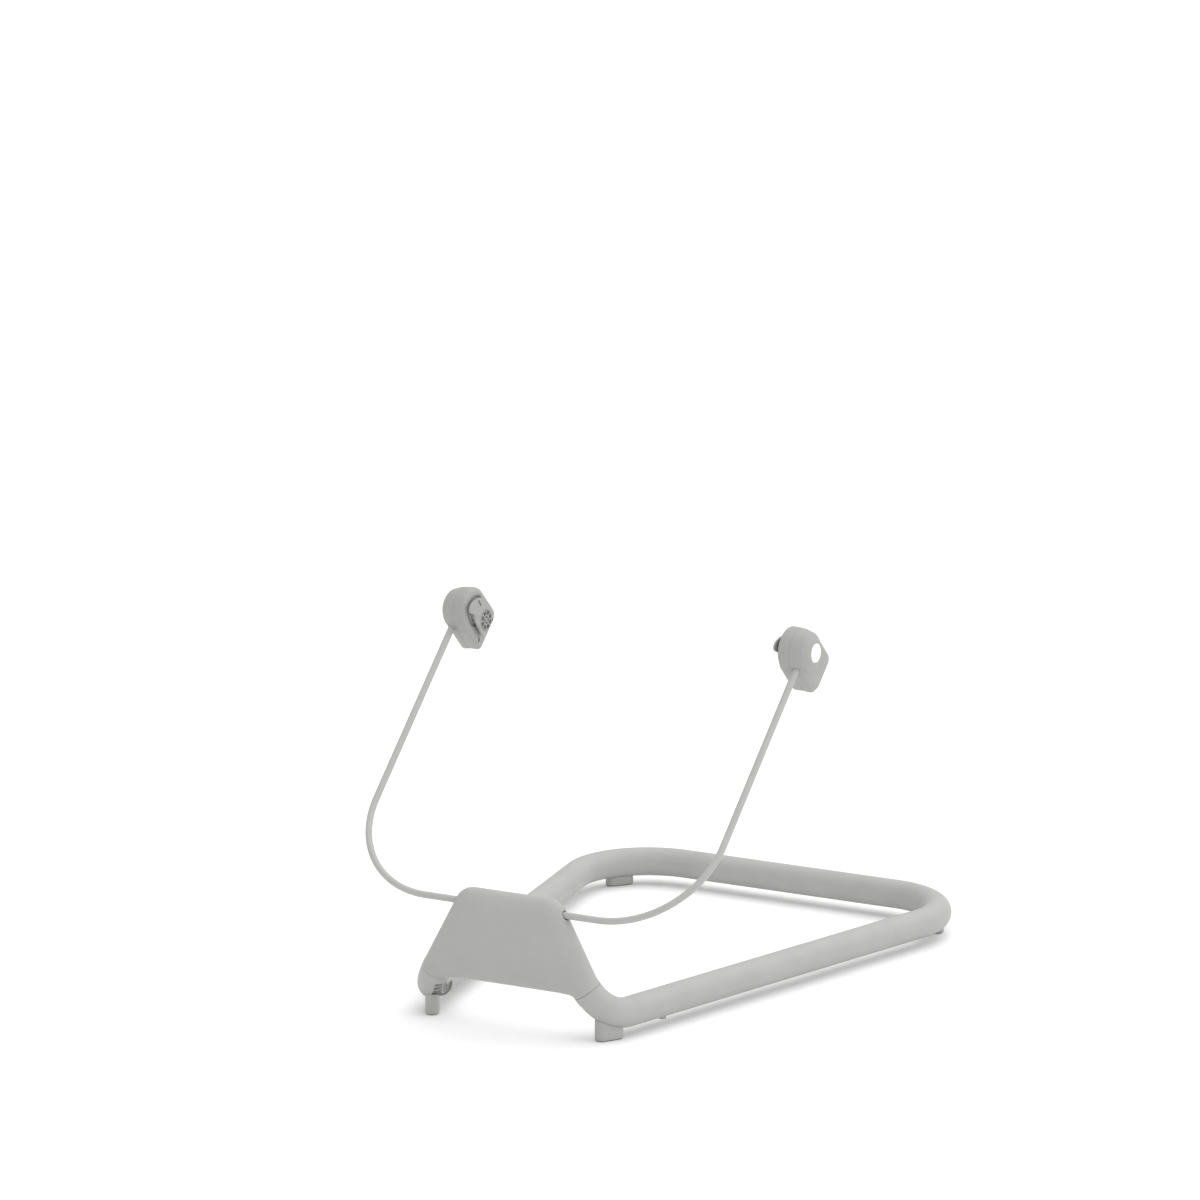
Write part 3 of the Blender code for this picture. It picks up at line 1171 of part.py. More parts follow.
def make_wire_end(word, side, parent):
    mesh = bmesh.new()
    rod(mesh, mount_point(side, 0, 0, FERRULE_BOTTOM), mount_point(side, 0, 0, FERRULE_TOP), FERRULE_RADIUS)
    ferrule = finish(mesh, "wire_ferrule_" + word, STEEL, WIRE_AXIS, parent)
    cut = bmesh.new()
    rod(cut, mount_point(side, 0, 0, FERRULE_BOTTOM - 0.001), mount_point(side, 0, 0, FERRULE_TOP + 0.001),
        WIRE_RADIUS + SEAT_GAP)
    combine(ferrule, make_tool(cut, "tool_ferrule_bore_" + word), "DIFFERENCE")
    combine(ferrule, bpy.data.objects["tool_pin_hole_" + word], "DIFFERENCE")
    pin = bmesh.new()
    mount_rod(pin, side, PIN_INNER_X, PIN_OUTER_X, 0, PIN_U, PIN_RADIUS, SMALL_SIDES)
    finish(pin, "wire_pin_" + word, STEEL, WIRE_AXIS, parent)
    for place, (v, u) in SHELL_SCREW_PLACES.items():
        screw = bmesh.new()
        head_x = INNER_FACE_X + SHELL_SCREW_SINK
        pin_with_head(screw, mount_point(side, head_x, v, u), Vector((side, 0, 0)), SHELL_SCREW_HEAD,
                      SHELL_HEAD_HEIGHT, SHELL_SCREW_RADIUS, SHELL_SCREW_END_X - head_x)
        finish(screw, "shell_screw_" + place + "_" + word, STEEL, WIRE_AXIS, parent)


def main():
    make_housing()
    make_rear_cover()
    make_clamp()
    make_bushes()
    make_base_tube()
    make_inserts()
    make_feet()
    bounce = bpy.data.objects.new("bounce_axis", None)
    bounce.location = WIRE_AXIS
    bpy.context.scene.collection.objects.link(bounce)
    make_wire(bounce)
    for word, side in SIDES.items():
        make_outer_shell(word, side, bounce)
        make_inner_shell(word, side, bounce)
        make_seat_plate(word, side, bounce)
        make_socket(word, side, bounce)
        make_lock_gear(word, side, bounce)
        make_release_button(word, side, bounce)
        make_wire_end(word, side, bounce)


main()
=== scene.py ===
"""Baby bouncer stand: finely shaped pieces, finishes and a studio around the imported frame.

Metres, +Z up, +Y to the back, the floor at z = 0. The right-hand pieces are made first
and the left-hand ones are their mirror images.
"""
import math

import bmesh
import bpy
from mathutils import Matrix, Vector


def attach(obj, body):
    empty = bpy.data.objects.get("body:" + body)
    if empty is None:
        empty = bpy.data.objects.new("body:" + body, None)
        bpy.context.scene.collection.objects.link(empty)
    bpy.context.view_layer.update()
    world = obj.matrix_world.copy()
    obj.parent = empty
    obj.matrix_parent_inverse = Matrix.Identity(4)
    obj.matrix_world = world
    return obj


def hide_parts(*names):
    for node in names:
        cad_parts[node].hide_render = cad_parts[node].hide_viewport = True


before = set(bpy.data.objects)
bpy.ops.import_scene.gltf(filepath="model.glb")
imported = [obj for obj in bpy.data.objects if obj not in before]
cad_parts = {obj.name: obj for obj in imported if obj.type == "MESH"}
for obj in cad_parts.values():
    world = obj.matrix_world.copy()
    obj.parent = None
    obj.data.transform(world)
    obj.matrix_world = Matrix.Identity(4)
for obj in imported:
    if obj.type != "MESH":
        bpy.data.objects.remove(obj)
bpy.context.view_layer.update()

bl_info = {
    "name": "Baby Bouncer Stand",
    "version": (1, 0, 0),
    "blender": (4, 5, 0),
    "location": "View3D > Sidebar > Bouncer",
    "description": "Shapes and finishes the stand of a baby bouncer",
    "category": "Object",
}

# Clearances
SEAT_GAP = 0.0003
SLIDE_GAP = 0.0003

# How finely round shapes are cut
TUBE_SIDES = 56
WIRE_SIDES = 32
TURNED_SIDES = 56
SMALL_SIDES = 24
BEND_STEP = math.radians(4)
EDGE_LEVELS = 14
SHOULDER_STEPS = 16
FILLET_STEPS = 8

# Distances under which points become one
MERGE = 1e-6
RIM_MERGE = 8e-5

SIDES = {"left": -1, "right": 1}
UP = Vector((0, 0, 1))
BACK = Vector((0, 1, 0))
RIGHT = Vector((1, 0, 0))


def length(name, description, default):
    """A size in metres that a user can change."""
    return bpy.props.FloatProperty(name=name, description=description, default=default, min=0.0,
                                   precision=5, subtype="DISTANCE", unit="LENGTH")


def turn_of(name, description, degrees):
    """An angle that a user can change."""
    return bpy.props.FloatProperty(name=name, description=description, default=math.radians(degrees),
                                   subtype="ANGLE", unit="ROTATION")


def colour(name, description, default):
    """A linear colour that a user can change."""
    return bpy.props.FloatVectorProperty(name=name, description=description, default=default, size=3,
                                         min=0.0, max=1.0, subtype="COLOR")


class BouncerBaseSizes(bpy.types.PropertyGroup):
    """Sizes of the tube, the arch housing and the feet"""
    tube_radius: length("Tube radius", "Half the thickness of the base tube", 0.0175)
    tube_wall: length("Tube wall", "Thickness of the tube's wall", 0.0015)
    floor_gap: length("Floor gap", "Height of the tube's underside over the floor", 0.0103)
    arch_y: length("Arch depth", "Distance of the arch in front of the middle", 0.335)
    rear_y: length("Rear bar depth", "Distance of the rear bar behind the middle", 0.335)
    arch_top_z: length("Arch height", "Height of the arch's middle line", 0.1446)
    arch_top_half: length("Arch top", "Half the width of the arch's top", 0.0532)
    leg_foot_half: length("Leg spread", "Half the width between the arch's legs at the floor", 0.1174)
    rear_half: length("Rear spread", "Half the width between the rear corners", 0.2612)
    arch_bend: length("Arch bend", "Radius of the arch's upper corners, measured at its middle line", 0.0050)
    corner_bend: length("Front bend", "Radius of the bends at the front", 0.0529)
    rear_bend: length("Rear bend", "Radius of the bends at the back", 0.0917)
    seam_from_corner: length("Seam place", "Distance of the seam from the front corner", 0.0356)
    housing_wall: length("Housing wall", "Thickness of the housing's wall", 0.0025)
    panel_bottom_z: length("Panel bottom", "Height of the housing's lower edge", 0.0528)
    panel_fillet: length("Panel fillet", "Rounding where the panel meets the legs", 0.009)
    cover_inset: length("Cover inset", "Margin round the rear cover", 0.004)
    foot_width: length("Foot width", "Width of a foot", 0.016)
    foot_length: length("Foot length", "Length of a foot along the tube", 0.0355)


class BouncerWireSizes(bpy.types.PropertyGroup):
    """Sizes of the sprung wire"""
    radius: length("Wire radius", "Half the thickness of the wire", 0.004)
    half_straight: length("Half straight", "Half the straight length through the housing", 0.11465)
    bend: length("Bend", "Radius of the wire's two bends", 0.1166)
    lean: turn_of("Lean", "Lean of the wire from upright", 45)
    rise: length("Rise", "Length from the housing to the mounts' axis", 0.3854)
    hole: length("Exit hole", "Radius of the holes where the wire leaves the housing", 0.0053)


class BouncerMountSizes(bpy.types.PropertyGroup):
    """Sizes of the two seat mounts"""
    barrel_inner: length("Barrel, inside", "Radius of the barrel at its inner face", 0.0278)
    barrel_parting: length("Barrel, parting", "Radius of the barrel at the parting line", 0.0271)
    barrel_middle: length("Barrel, middle", "Radius of the barrel before it slopes", 0.0260)
    barrel_facet: length("Barrel, facet", "Radius of the barrel at its outer facet", 0.0230)
    button_radius: length("Button radius", "Radius of the release button", 0.0115)
    socket_radius: length("Socket radius", "Radius of the ring of pockets", 0.0120)


class BouncerFinishes(bpy.types.PropertyGroup):
    """Colours of the stand's finishes and of the floor"""
    paint: colour("Tube paint", "Powder coat of the base tube", (0.395, 0.395, 0.386))
    plastic: colour("Grey plastic", "Moulded plastic of the housing, mounts and feet", (0.395, 0.395, 0.386))
    mount: colour("Mount plastic", "Moulded plastic of the seat mounts", (0.355, 0.355, 0.344))
    wire: colour("Wire coat", "Coat of the sprung wire", (0.415, 0.415, 0.407))
    rubber: colour("Rubber", "Pads under the feet", (0.20, 0.197, 0.190))
    white: colour("White plastic", "Discs of the release buttons", (0.92, 0.92, 0.91))
    nylon: colour("Nylon", "Gears and bushes", (0.80, 0.78, 0.72))
    steel: colour("Steel", "Screws, springs, pins and clamp", (0.62, 0.62, 0.64))
    floor: colour("Floor", "Studio floor", (0.95, 0.95, 0.95))


# Finishes

def add_node(material, kind, **values):
    """Add a shader node and set its properties or inputs."""
    node = material.node_tree.nodes.new(kind)
    for key, value in values.items():
        if key in node.inputs:
            node.inputs[key].default_value = value
        else:
            setattr(node, key, value)
    return node


def start_finish(name, tone, roughness, metallic=0.0, specular=0.5):
    """A material with its shader and the object's own coordinates."""
    material = bpy.data.materials.new(name)
    material.use_nodes = True
    shader = material.node_tree.nodes["Principled BSDF"]
    shader.inputs["Base Color"].default_value = (*tone, 1.0)
    shader.inputs["Roughness"].default_value = roughness
    shader.inputs["Metallic"].default_value = metallic
    shader.inputs["Specular IOR Level"].default_value = specular
    material.diffuse_color = (*tone, 1.0)
    place = add_node(material, "ShaderNodeTexCoord")
    return material, shader, place.outputs["Object"]


def tone_between(material, source, target, darker, lighter, start=0.3, end=0.7):
    """Drive a colour socket from a pattern, between two tones."""
    ramp = add_node(material, "ShaderNodeValToRGB")
    ramp.color_ramp.elements[0].position = start
    ramp.color_ramp.elements[0].color = (*darker, 1.0)
    ramp.color_ramp.elements[1].position = end
    ramp.color_ramp.elements[1].color = (*lighter, 1.0)
    link = material.node_tree.links.new
    link(source, ramp.inputs["Fac"])
    link(ramp.outputs["Color"], target)


def range_between(material, source, target, low, high):
    """Drive a value socket from a pattern, between two values."""
    spread = add_node(material, "ShaderNodeMapRange")
    spread.inputs["To Min"].default_value = low
    spread.inputs["To Max"].default_value = high
    link = material.node_tree.links.new
    link(source, spread.inputs["Value"])
    link(spread.outputs["Result"], target)


def raise_surface(material, shader, source, strength, distance, below=None):
    """Let a pattern lift the surface, over another one if given."""
    bump = add_node(material, "ShaderNodeBump", Strength=strength, Distance=distance)
    link = material.node_tree.links.new
    link(source, bump.inputs["Height"])
    if below:
        link(below.outputs["Normal"], bump.inputs["Normal"])
    link(bump.outputs["Normal"], shader.inputs["Normal"])
    return bump


def noise(material, place, scale, detail=2.0, roughness=0.5):
    node = add_node(material, "ShaderNodeTexNoise", Scale=scale, Detail=detail, Roughness=roughness)
    material.node_tree.links.new(place, node.inputs["Vector"])
    return node.outputs["Fac"]


def scaled(tone, factor):
    return tuple(min(1.0, part * factor) for part in tone)


def powder_coat(name, tone, roughness):
    """Satin powder coat: a soft orange-peel surface with faint clouds of tone."""
    material, shader, place = start_finish(name, tone, roughness, specular=0.42)
    tone_between(material, noise(material, place, 34, 4), shader.inputs["Base Color"],
                 scaled(tone, 0.965), scaled(tone, 1.03))
    range_between(material, noise(material, place, 260, 3), shader.inputs["Roughness"],
                  roughness - 0.06, roughness + 0.07)
    peel = raise_surface(material, shader, noise(material, place, 620, 1.0), 0.22, 0.0006)
    raise_surface(material, shader, noise(material, place, 2600, 2.0), 0.16, 0.0002, peel)
    return material


def moulded_plastic(name, tone, roughness, grain=3200):
    """Moulded plastic with a fine eroded grain, a little uneven in tone."""
    material, shader, place = start_finish(name, tone, roughness, specular=0.4)
    tone_between(material, noise(material, place, 21, 5), shader.inputs["Base Color"],
                 scaled(tone, 0.97), scaled(tone, 1.025))
    range_between(material, noise(material, place, 140, 4), shader.inputs["Roughness"],
                  roughness - 0.05, roughness + 0.06)
    cells = add_node(material, "ShaderNodeTexVoronoi", Scale=grain, feature="SMOOTH_F1")
    material.node_tree.links.new(place, cells.inputs["Vector"])
    grain_lift = raise_surface(material, shader, cells.outputs["Distance"], 0.24, 0.00025)
    raise_surface(material, shader, noise(material, place, 90, 2.0), 0.10, 0.0008, grain_lift)
    return material


def soft_rubber(name, tone):
    material, shader, place = start_finish(name, tone, 0.82, specular=0.3)
    tone_between(material, noise(material, place, 160, 5), shader.inputs["Base Color"],
                 scaled(tone, 0.85), scaled(tone, 1.12))
    raise_surface(material, shader, noise(material, place, 1900, 4), 0.35, 0.0003)
    return material


def satin_white(name, tone):
    material, shader, place = start_finish(name, tone, 0.38, specular=0.5)
    tone_between(material, noise(material, place, 60, 3), shader.inputs["Base Color"],
                 scaled(tone, 0.975), scaled(tone, 1.0))
    range_between(material, noise(material, place, 400, 3), shader.inputs["Roughness"], 0.33, 0.45)
    raise_surface(material, shader, noise(material, place, 1500, 2), 0.08, 0.0002)
    return material


def raw_nylon(name, tone):
    material, shader, place = start_finish(name, tone, 0.5, specular=0.4)
    shader.inputs["Subsurface Weight"].default_value = 0.15
    shader.inputs["Subsurface Radius"].default_value = (0.003, 0.0025, 0.002)
    tone_between(material, noise(material, place, 220, 4), shader.inputs["Base Color"],
                 scaled(tone, 0.94), scaled(tone, 1.03))
    raise_surface(material, shader, noise(material, place, 1300, 3), 0.12, 0.0003)
    return material


def plated_steel(name, tone):
    """Zinc-plated steel with a cloudy passivation and a fine bumpy grain."""
    material, shader, place = start_finish(name, tone, 0.34, metallic=1.0)
    tone_between(material, noise(material, place, 320, 5), shader.inputs["Base Color"],
                 scaled(tone, 0.86), scaled(tone, 1.06))
    range_between(material, noise(material, place, 900, 4), shader.inputs["Roughness"], 0.26, 0.46)
    raise_surface(material, shader, noise(material, place, 2400, 3), 0.12, 0.0002)
    return material


def studio_floor(name, tone):
    material, shader, place = start_finish(name, tone, 0.9, specular=0.1)
    tone_between(material, noise(material, place, 0.8, 3), shader.inputs["Base Color"],
                 scaled(tone, 0.995), scaled(tone, 1.0))
    return material


def finish_called(slot):
    """The material of a slot, made the first time that it is asked for."""
    name = "bouncer_" + slot
    if name in bpy.data.materials:
        return bpy.data.materials[name]
    tones = bpy.context.scene.bouncer_finishes
    makers = {
        "tube_paint": lambda: powder_coat(name, tones.paint, 0.52),
        "wire_coat": lambda: powder_coat(name, tones.wire, 0.48),
        "grey_plastic": lambda: moulded_plastic(name, tones.plastic, 0.56),
        "mount_plastic": lambda: moulded_plastic(name, tones.mount, 0.6),
        "rubber_pad": lambda: soft_rubber(name, tones.rubber),
        "white_plastic": lambda: satin_white(name, tones.white),
        "natural_nylon": lambda: raw_nylon(name, tones.nylon),
        "zinc_steel": lambda: plated_steel(name, tones.steel),
        "floor": lambda: studio_floor(name, tones.floor),
    }
    return makers[slot]()


# Shaping

def shade(data, sharp=32.0):
    data.shade_smooth()
    data.set_sharp_from_angle(angle=math.radians(sharp))


def new_piece(mesh, name, slot=None, sharp=32.0):
    """Close the mesh, point its faces outwards and make it an object."""
    merge_near(mesh, MERGE)
    bmesh.ops.dissolve_degenerate(mesh, edges=mesh.edges[:], dist=1e-7)
    face_outwards(mesh)
    data = bpy.data.meshes.new(name)
    mesh.to_mesh(data)
    mesh.free()
    if slot:
        data.materials.append(finish_called(slot))
    shade(data, sharp)
    piece = bpy.data.objects.new(name, data)
    bpy.context.scene.collection.objects.link(piece)
    return piece


def carve(piece, tool_mesh, operation="DIFFERENCE", sharp=32.0):
    """Cut, join or keep a shape and write the result into the piece."""
    tool = new_piece(tool_mesh, "cutter")
    step = piece.modifiers.new("cut", "BOOLEAN")
    step.operation = operation
    step.solver = "EXACT"
    step.object = tool
    graph = bpy.context.evaluated_depsgraph_get()
    result = bpy.data.meshes.new_from_object(piece.evaluated_get(graph))
    piece.modifiers.clear()
    old = piece.data
    name = old.name
    piece.data = result
    bpy.data.meshes.remove(old)
    result.name = name
    tool_data = tool.data
    bpy.data.objects.remove(tool, do_unlink=True)
    bpy.data.meshes.remove(tool_data)
    if len(result.polygons) < 4:
        raise RuntimeError("Nothing is left of " + piece.name)
    shade(result, sharp)


def cut_with(piece, maker, *shape, operation="DIFFERENCE"):
    """Cut away, or join, the shape that a maker such as bar or turned gives."""
    tool = bmesh.new()
    maker(tool, *shape)
    carve(piece, tool, operation)


def copy_of(piece, name):
    data = piece.data.copy()
    data.name = name
    copied = bpy.data.objects.new(name, data)
    bpy.context.scene.collection.objects.link(copied)
    return copied


def mirrored(piece, name):
    """The piece's mirror image across the middle."""
    copied = copy_of(piece, name)
    copied.data.transform(Matrix.Scale(-1, 4, RIGHT))
    copied.data.flip_normals()
    shade(copied.data)
    return copied


def settle(piece, body, slot, *nodes):
    """Attach a piece to the body that carries it and hide the nodes that it stands for; the finish passed to
    it is not used.
    """
    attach(piece, body)
    if nodes:
        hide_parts(*nodes)


def settle_pair(piece, name, body, slot, node):
    """Mirror a right-hand piece for the left and say what each stands for."""
    other = mirrored(piece, name + "_left")
    for made, word in ((piece, "_right"), (other, "_left")):
        settle(made, body if body in ("base", "rocker") else body + word, slot, node + word)


def axes(origin, first, second, third):
    """A matrix from an origin and three unit vectors."""
    place = Matrix.Identity(4)
    for column, vector in enumerate((first, second, third, origin)):
        place.col[column][:3] = vector
    return place


def loop_of(mesh, points):
    """A closed loop of edges through points."""
    verts = [mesh.verts.new(point) for point in points]
    return [mesh.edges.new((verts[k - 1], verts[k])) for k in range(len(verts))]


def plate_of(mesh, points):
    """A flat face through points."""
    return mesh.faces.new([mesh.verts.new(point) for point in points])


def pull(mesh, face, shift):
    """Extrude a face by a vector and return the far face."""
    made = bmesh.ops.extrude_face_region(mesh, geom=[face])["geom"]
    verts = [part for part in made if isinstance(part, bmesh.types.BMVert)]
    bmesh.ops.translate(mesh, verts=verts, vec=shift)
    return [part for part in made if isinstance(part, bmesh.types.BMFace)][0]


def prism(mesh, points, shift):
    """A closed bar with the outline of the points."""
    near = plate_of(mesh, points)
    pull(mesh, near, shift)


def turn_away(mesh, face, direction):
    """Turn all faces over if a face looks in a direction that it has to look away from."""
    mesh.normal_update()
    if face.normal.dot(direction) > 0:
        bmesh.ops.reverse_faces(mesh, faces=mesh.faces[:])


def step_in(mesh, face, inward, forward):
    """Inset a face evenly and move it along its normal."""
    bmesh.ops.inset_region(mesh, faces=[face], thickness=inward, depth=forward,
                           use_boundary=True, use_even_offset=True)


def round_rim(mesh, face, radius, steps=4):
    """Round the rim of a flat end face outwards."""
    for step in range(steps):
        before = math.pi / 2 * step / steps
        after = math.pi / 2 * (step + 1) / steps
        step_in(mesh, face, radius * (math.cos(before) - math.cos(after)),
                radius * (math.sin(after) - math.sin(before)))


def turned(mesh, outline, place, sides=TURNED_SIDES):
    """A round solid: (distance, radius) pairs spun about a place's first axis."""
    verts = [mesh.verts.new(place @ Vector((run, radius, 0))) for run, radius in outline]
    edges = [mesh.edges.new(pair) for pair in zip(verts, verts[1:])]
    bmesh.ops.spin(mesh, geom=verts + edges, cent=place.translation, axis=place.col[0].xyz,
                   dvec=(0, 0, 0), angle=math.tau, steps=sides, use_merge=True, use_duplicate=False)
    merge_near(mesh, MERGE)


def bar(mesh, first, last, radius, place, sides=SMALL_SIDES):
    """A plain round bar along a place's first axis."""
    turned(mesh, [(first, 0), (first, radius), (last, radius), (last, 0)], place, sides)


def stepped_hole(start, wide, step, narrow, end):
    """The outline of a screw's hole: wide for its head and, past a step, narrow for its shank."""
    return [(start, 0), (start, wide), (step, wide), (step, narrow), (end, narrow), (end, 0)]


def box_between(mesh, low, high):
    """A box from corner to corner."""
    prism(mesh, [(low[0], low[1], low[2]), (low[0], high[1], low[2]), (low[0], high[1], high[2]),
                 (low[0], low[1], high[2])], (high[0] - low[0], 0, 0))


def whole(mesh):
    return mesh.verts[:] + mesh.edges[:] + mesh.faces[:]


def face_outwards(mesh):
    bmesh.ops.recalc_face_normals(mesh, faces=mesh.faces[:])


def merge_near(mesh, reach):
    bmesh.ops.remove_doubles(mesh, verts=mesh.verts[:], dist=reach)


def mirror_across(mesh, axis, merge):
    """Add the mesh's mirror image across the middle and join the two."""
    bmesh.ops.mirror(mesh, geom=whole(mesh), matrix=Matrix.Identity(4), merge_dist=merge, axis=axis)


def round_edges(mesh, width, segments, chosen, smallest=math.radians(28)):
    """Bevel the edges that turn by more than an angle and pass a test."""
    mesh.normal_update()
    edges = [edge for edge in mesh.edges
             if len(edge.link_faces) == 2 and edge.calc_face_angle() > smallest and chosen(edge)]
    bmesh.ops.bevel(mesh, geom=edges, offset=width, offset_type="OFFSET", segments=segments, profile=0.5,
                    affect="EDGES", clamp_overlap=True, material=-1)


def round_corners(mesh, corners, reach, segments):
    """Round the corners of a flat outline, starting at a reach from each."""
    bmesh.ops.bevel(mesh, geom=corners, offset=reach, offset_type="OFFSET", segments=segments, profile=0.5,
                    affect="VERTICES", clamp_overlap=False, material=-1)


# The line of the base tube

def tube_line(sizes):
    """Straights and bends of the tube's middle on the right, from the arch's top to the rear bar's middle."""
    axis_z = sizes.floor_gap + sizes.tube_radius
    corners = [Vector((0, -sizes.arch_y, sizes.arch_top_z)),
               Vector((sizes.arch_top_half, -sizes.arch_y, sizes.arch_top_z)),
               Vector((sizes.leg_foot_half, -sizes.arch_y, axis_z)),
               Vector((sizes.rear_half, sizes.rear_y, axis_z)),
               Vector((0, sizes.rear_y, axis_z))]
    runs = []
    here = corners[0]
    bends = (sizes.arch_bend, sizes.corner_bend, sizes.rear_bend)
    for corner, after, radius in zip(corners[1:], corners[2:], bends):
        incoming = (corner - here).normalized()
        outgoing = (after - corner).normalized()
        turn = incoming.angle(outgoing)
        reach = radius * math.tan(turn / 2)
        start = corner - incoming * reach
        axis = incoming.cross(outgoing).normalized()
        runs.append({"start": here, "along": incoming, "length": (start - here).length})
        runs.append({"start": start, "along": incoming, "length": radius * turn, "axis": axis,
                     "centre": start + axis.cross(incoming) * radius, "radius": radius})
        here = corner + outgoing * reach
    rest = corners[-1] - here
    runs.append({"start": here, "along": rest.normalized(), "length": rest.length})
    return runs


def station(runs, distance):
    """The place at a distance along the line: outward, sideways and along, as a matrix."""
    sideways = BACK.copy()
    for run in runs:
        inside = min(distance, run["length"])
        point = run["start"] + run["along"] * inside
        along = run["along"]
        if "axis" in run:
            swing = Matrix.Rotation(inside / run["radius"], 3, run["axis"])
            point = run["centre"] + swing @ (run["start"] - run["centre"])
            along = swing @ run["along"]
            sideways = swing @ sideways
        if distance <= run["length"] or run is runs[-1]:
            return axes(point, along.cross(sideways), sideways, along)
        distance -= run["length"]


def carry(mesh, loop, runs, first, last):
    """Carry a loop of edges along the line by extruding its straights and spinning its bends."""
    begin = 0.0
    for run in runs:
        start = max(first, begin)
        end = min(last, begin + run["length"])
        if end - start > 1e-7:
            if "axis" in run:
                angle = (end - start) / run["radius"]
                verts = list({vert for edge in loop for vert in edge.verts})
                made = bmesh.ops.spin(mesh, geom=verts + loop, cent=run["centre"], axis=run["axis"],
                                      dvec=(0, 0, 0), angle=angle, steps=max(2, round(angle / BEND_STEP)),
                                      use_merge=False, use_duplicate=False)
                loop = [part for part in made["geom_last"] if isinstance(part, bmesh.types.BMEdge)]
            else:
                made = bmesh.ops.extrude_edge_only(mesh, edges=loop)["geom"]
                verts = {part for part in made if isinstance(part, bmesh.types.BMVert)}
                bmesh.ops.translate(mesh, verts=list(verts), vec=run["along"] * (end - start))
                loop = [part for part in made if isinstance(part, bmesh.types.BMEdge)
                        and part.verts[0] in verts and part.verts[1] in verts]
        begin += run["length"]
    return loop


def pipe(mesh, runs, first, last, radius, sides=TUBE_SIDES, closed=True):
    """A round bar along the line."""
    place = station(runs, first)
    made = bmesh.ops.create_circle(mesh, cap_ends=False, radius=radius, segments=sides, matrix=place)
    loop = list({edge for vert in made["verts"] for edge in vert.link_edges})
    end = carry(mesh, loop, runs, first, last)
    if closed:
        bmesh.ops.holes_fill(mesh, edges=loop + end, sides=0)
    return loop, end


class Line:
    """The tube's line and the places on it that several pieces need."""

    def __init__(self, sizes):
        self.sizes = sizes
        self.runs = tube_line(sizes)
        self.total = sum(run["length"] for run in self.runs)
        bend = self.runs[3]
        self.leg = self.runs[2]["along"]
        self.leg_out = Vector((-self.leg.z, 0, self.leg.x))
        self.bend_start = bend["start"]
        self.bend_axis = bend["axis"]
        self.bend_centre = bend["centre"]
        self.bend_at = sum(run["length"] for run in self.runs[:3])
        axis_z = sizes.floor_gap + sizes.tube_radius
        corner = Vector((sizes.leg_foot_half, -sizes.arch_y, axis_z))
        self.seam_past = max(0.001, (corner - self.bend_start).length - sizes.seam_from_corner)
        self.seam_at = self.bend_at + self.seam_past
        self.panel_line_z = sizes.panel_bottom_z + sizes.tube_radius
        rear = self.runs[5]
        self.rear_foot_at = sum(run["length"] for run in self.runs[:5]) + rear["length"] * REAR_FOOT_PART

    def bend_past_leg(self, point):
        """Carry a point of the straight leg round the start of the corner bend."""
        side = 1 if point.x >= 0 else -1
        moved = Vector((abs(point.x), point.y, point.z))
        past = (moved - self.bend_start).dot(self.leg)
        if past > 0:
            flat = moved - self.leg * past
            swing = Matrix.Rotation(past / self.sizes.corner_bend, 3, self.bend_axis)
            moved = self.bend_centre + swing @ (flat - self.bend_centre)
        return Vector((side * moved.x, moved.y, moved.z))


REAR_FOOT_PART = 0.485
FRONT_FOOT_FROM_SEAM = 0.036
WINDOW_START = 0.008
WINDOW_LENGTH = 0.060
WINDOW_DEPTH = 0.0063
SNAP_FROM_SEAM = 0.1245
SNAP_RADIUS = 0.0045
SNAP_FLANGE = 0.0062
SNAP_FLANGE_HEIGHT = 0.002
SNAP_PROUD = 0.003
# Shares of the snap button's radius: its flat tip and the height of its rounding
SNAP_FLAT = 0.62
SNAP_DOME = 0.32

SEAM_RIM = 0.0004


def ease_seam_rims(mesh, line, distance):
    """Ease the outer rims of the two ends at the seams between tube and housing."""
    place = station(line.runs, distance)
    radius = line.sizes.tube_radius

    def at_rim(edge):
        for vert in edge.verts:
            away = Vector((abs(vert.co.x), vert.co.y, vert.co.z)) - place.translation
            if abs(away.dot(place.col[2].xyz)) > 2e-4:
                return False
            if away.length < radius - 3e-4 or away.length > radius + 1e-3:
                return False
        return True

    round_edges(mesh, SEAM_RIM, 2, at_rim)


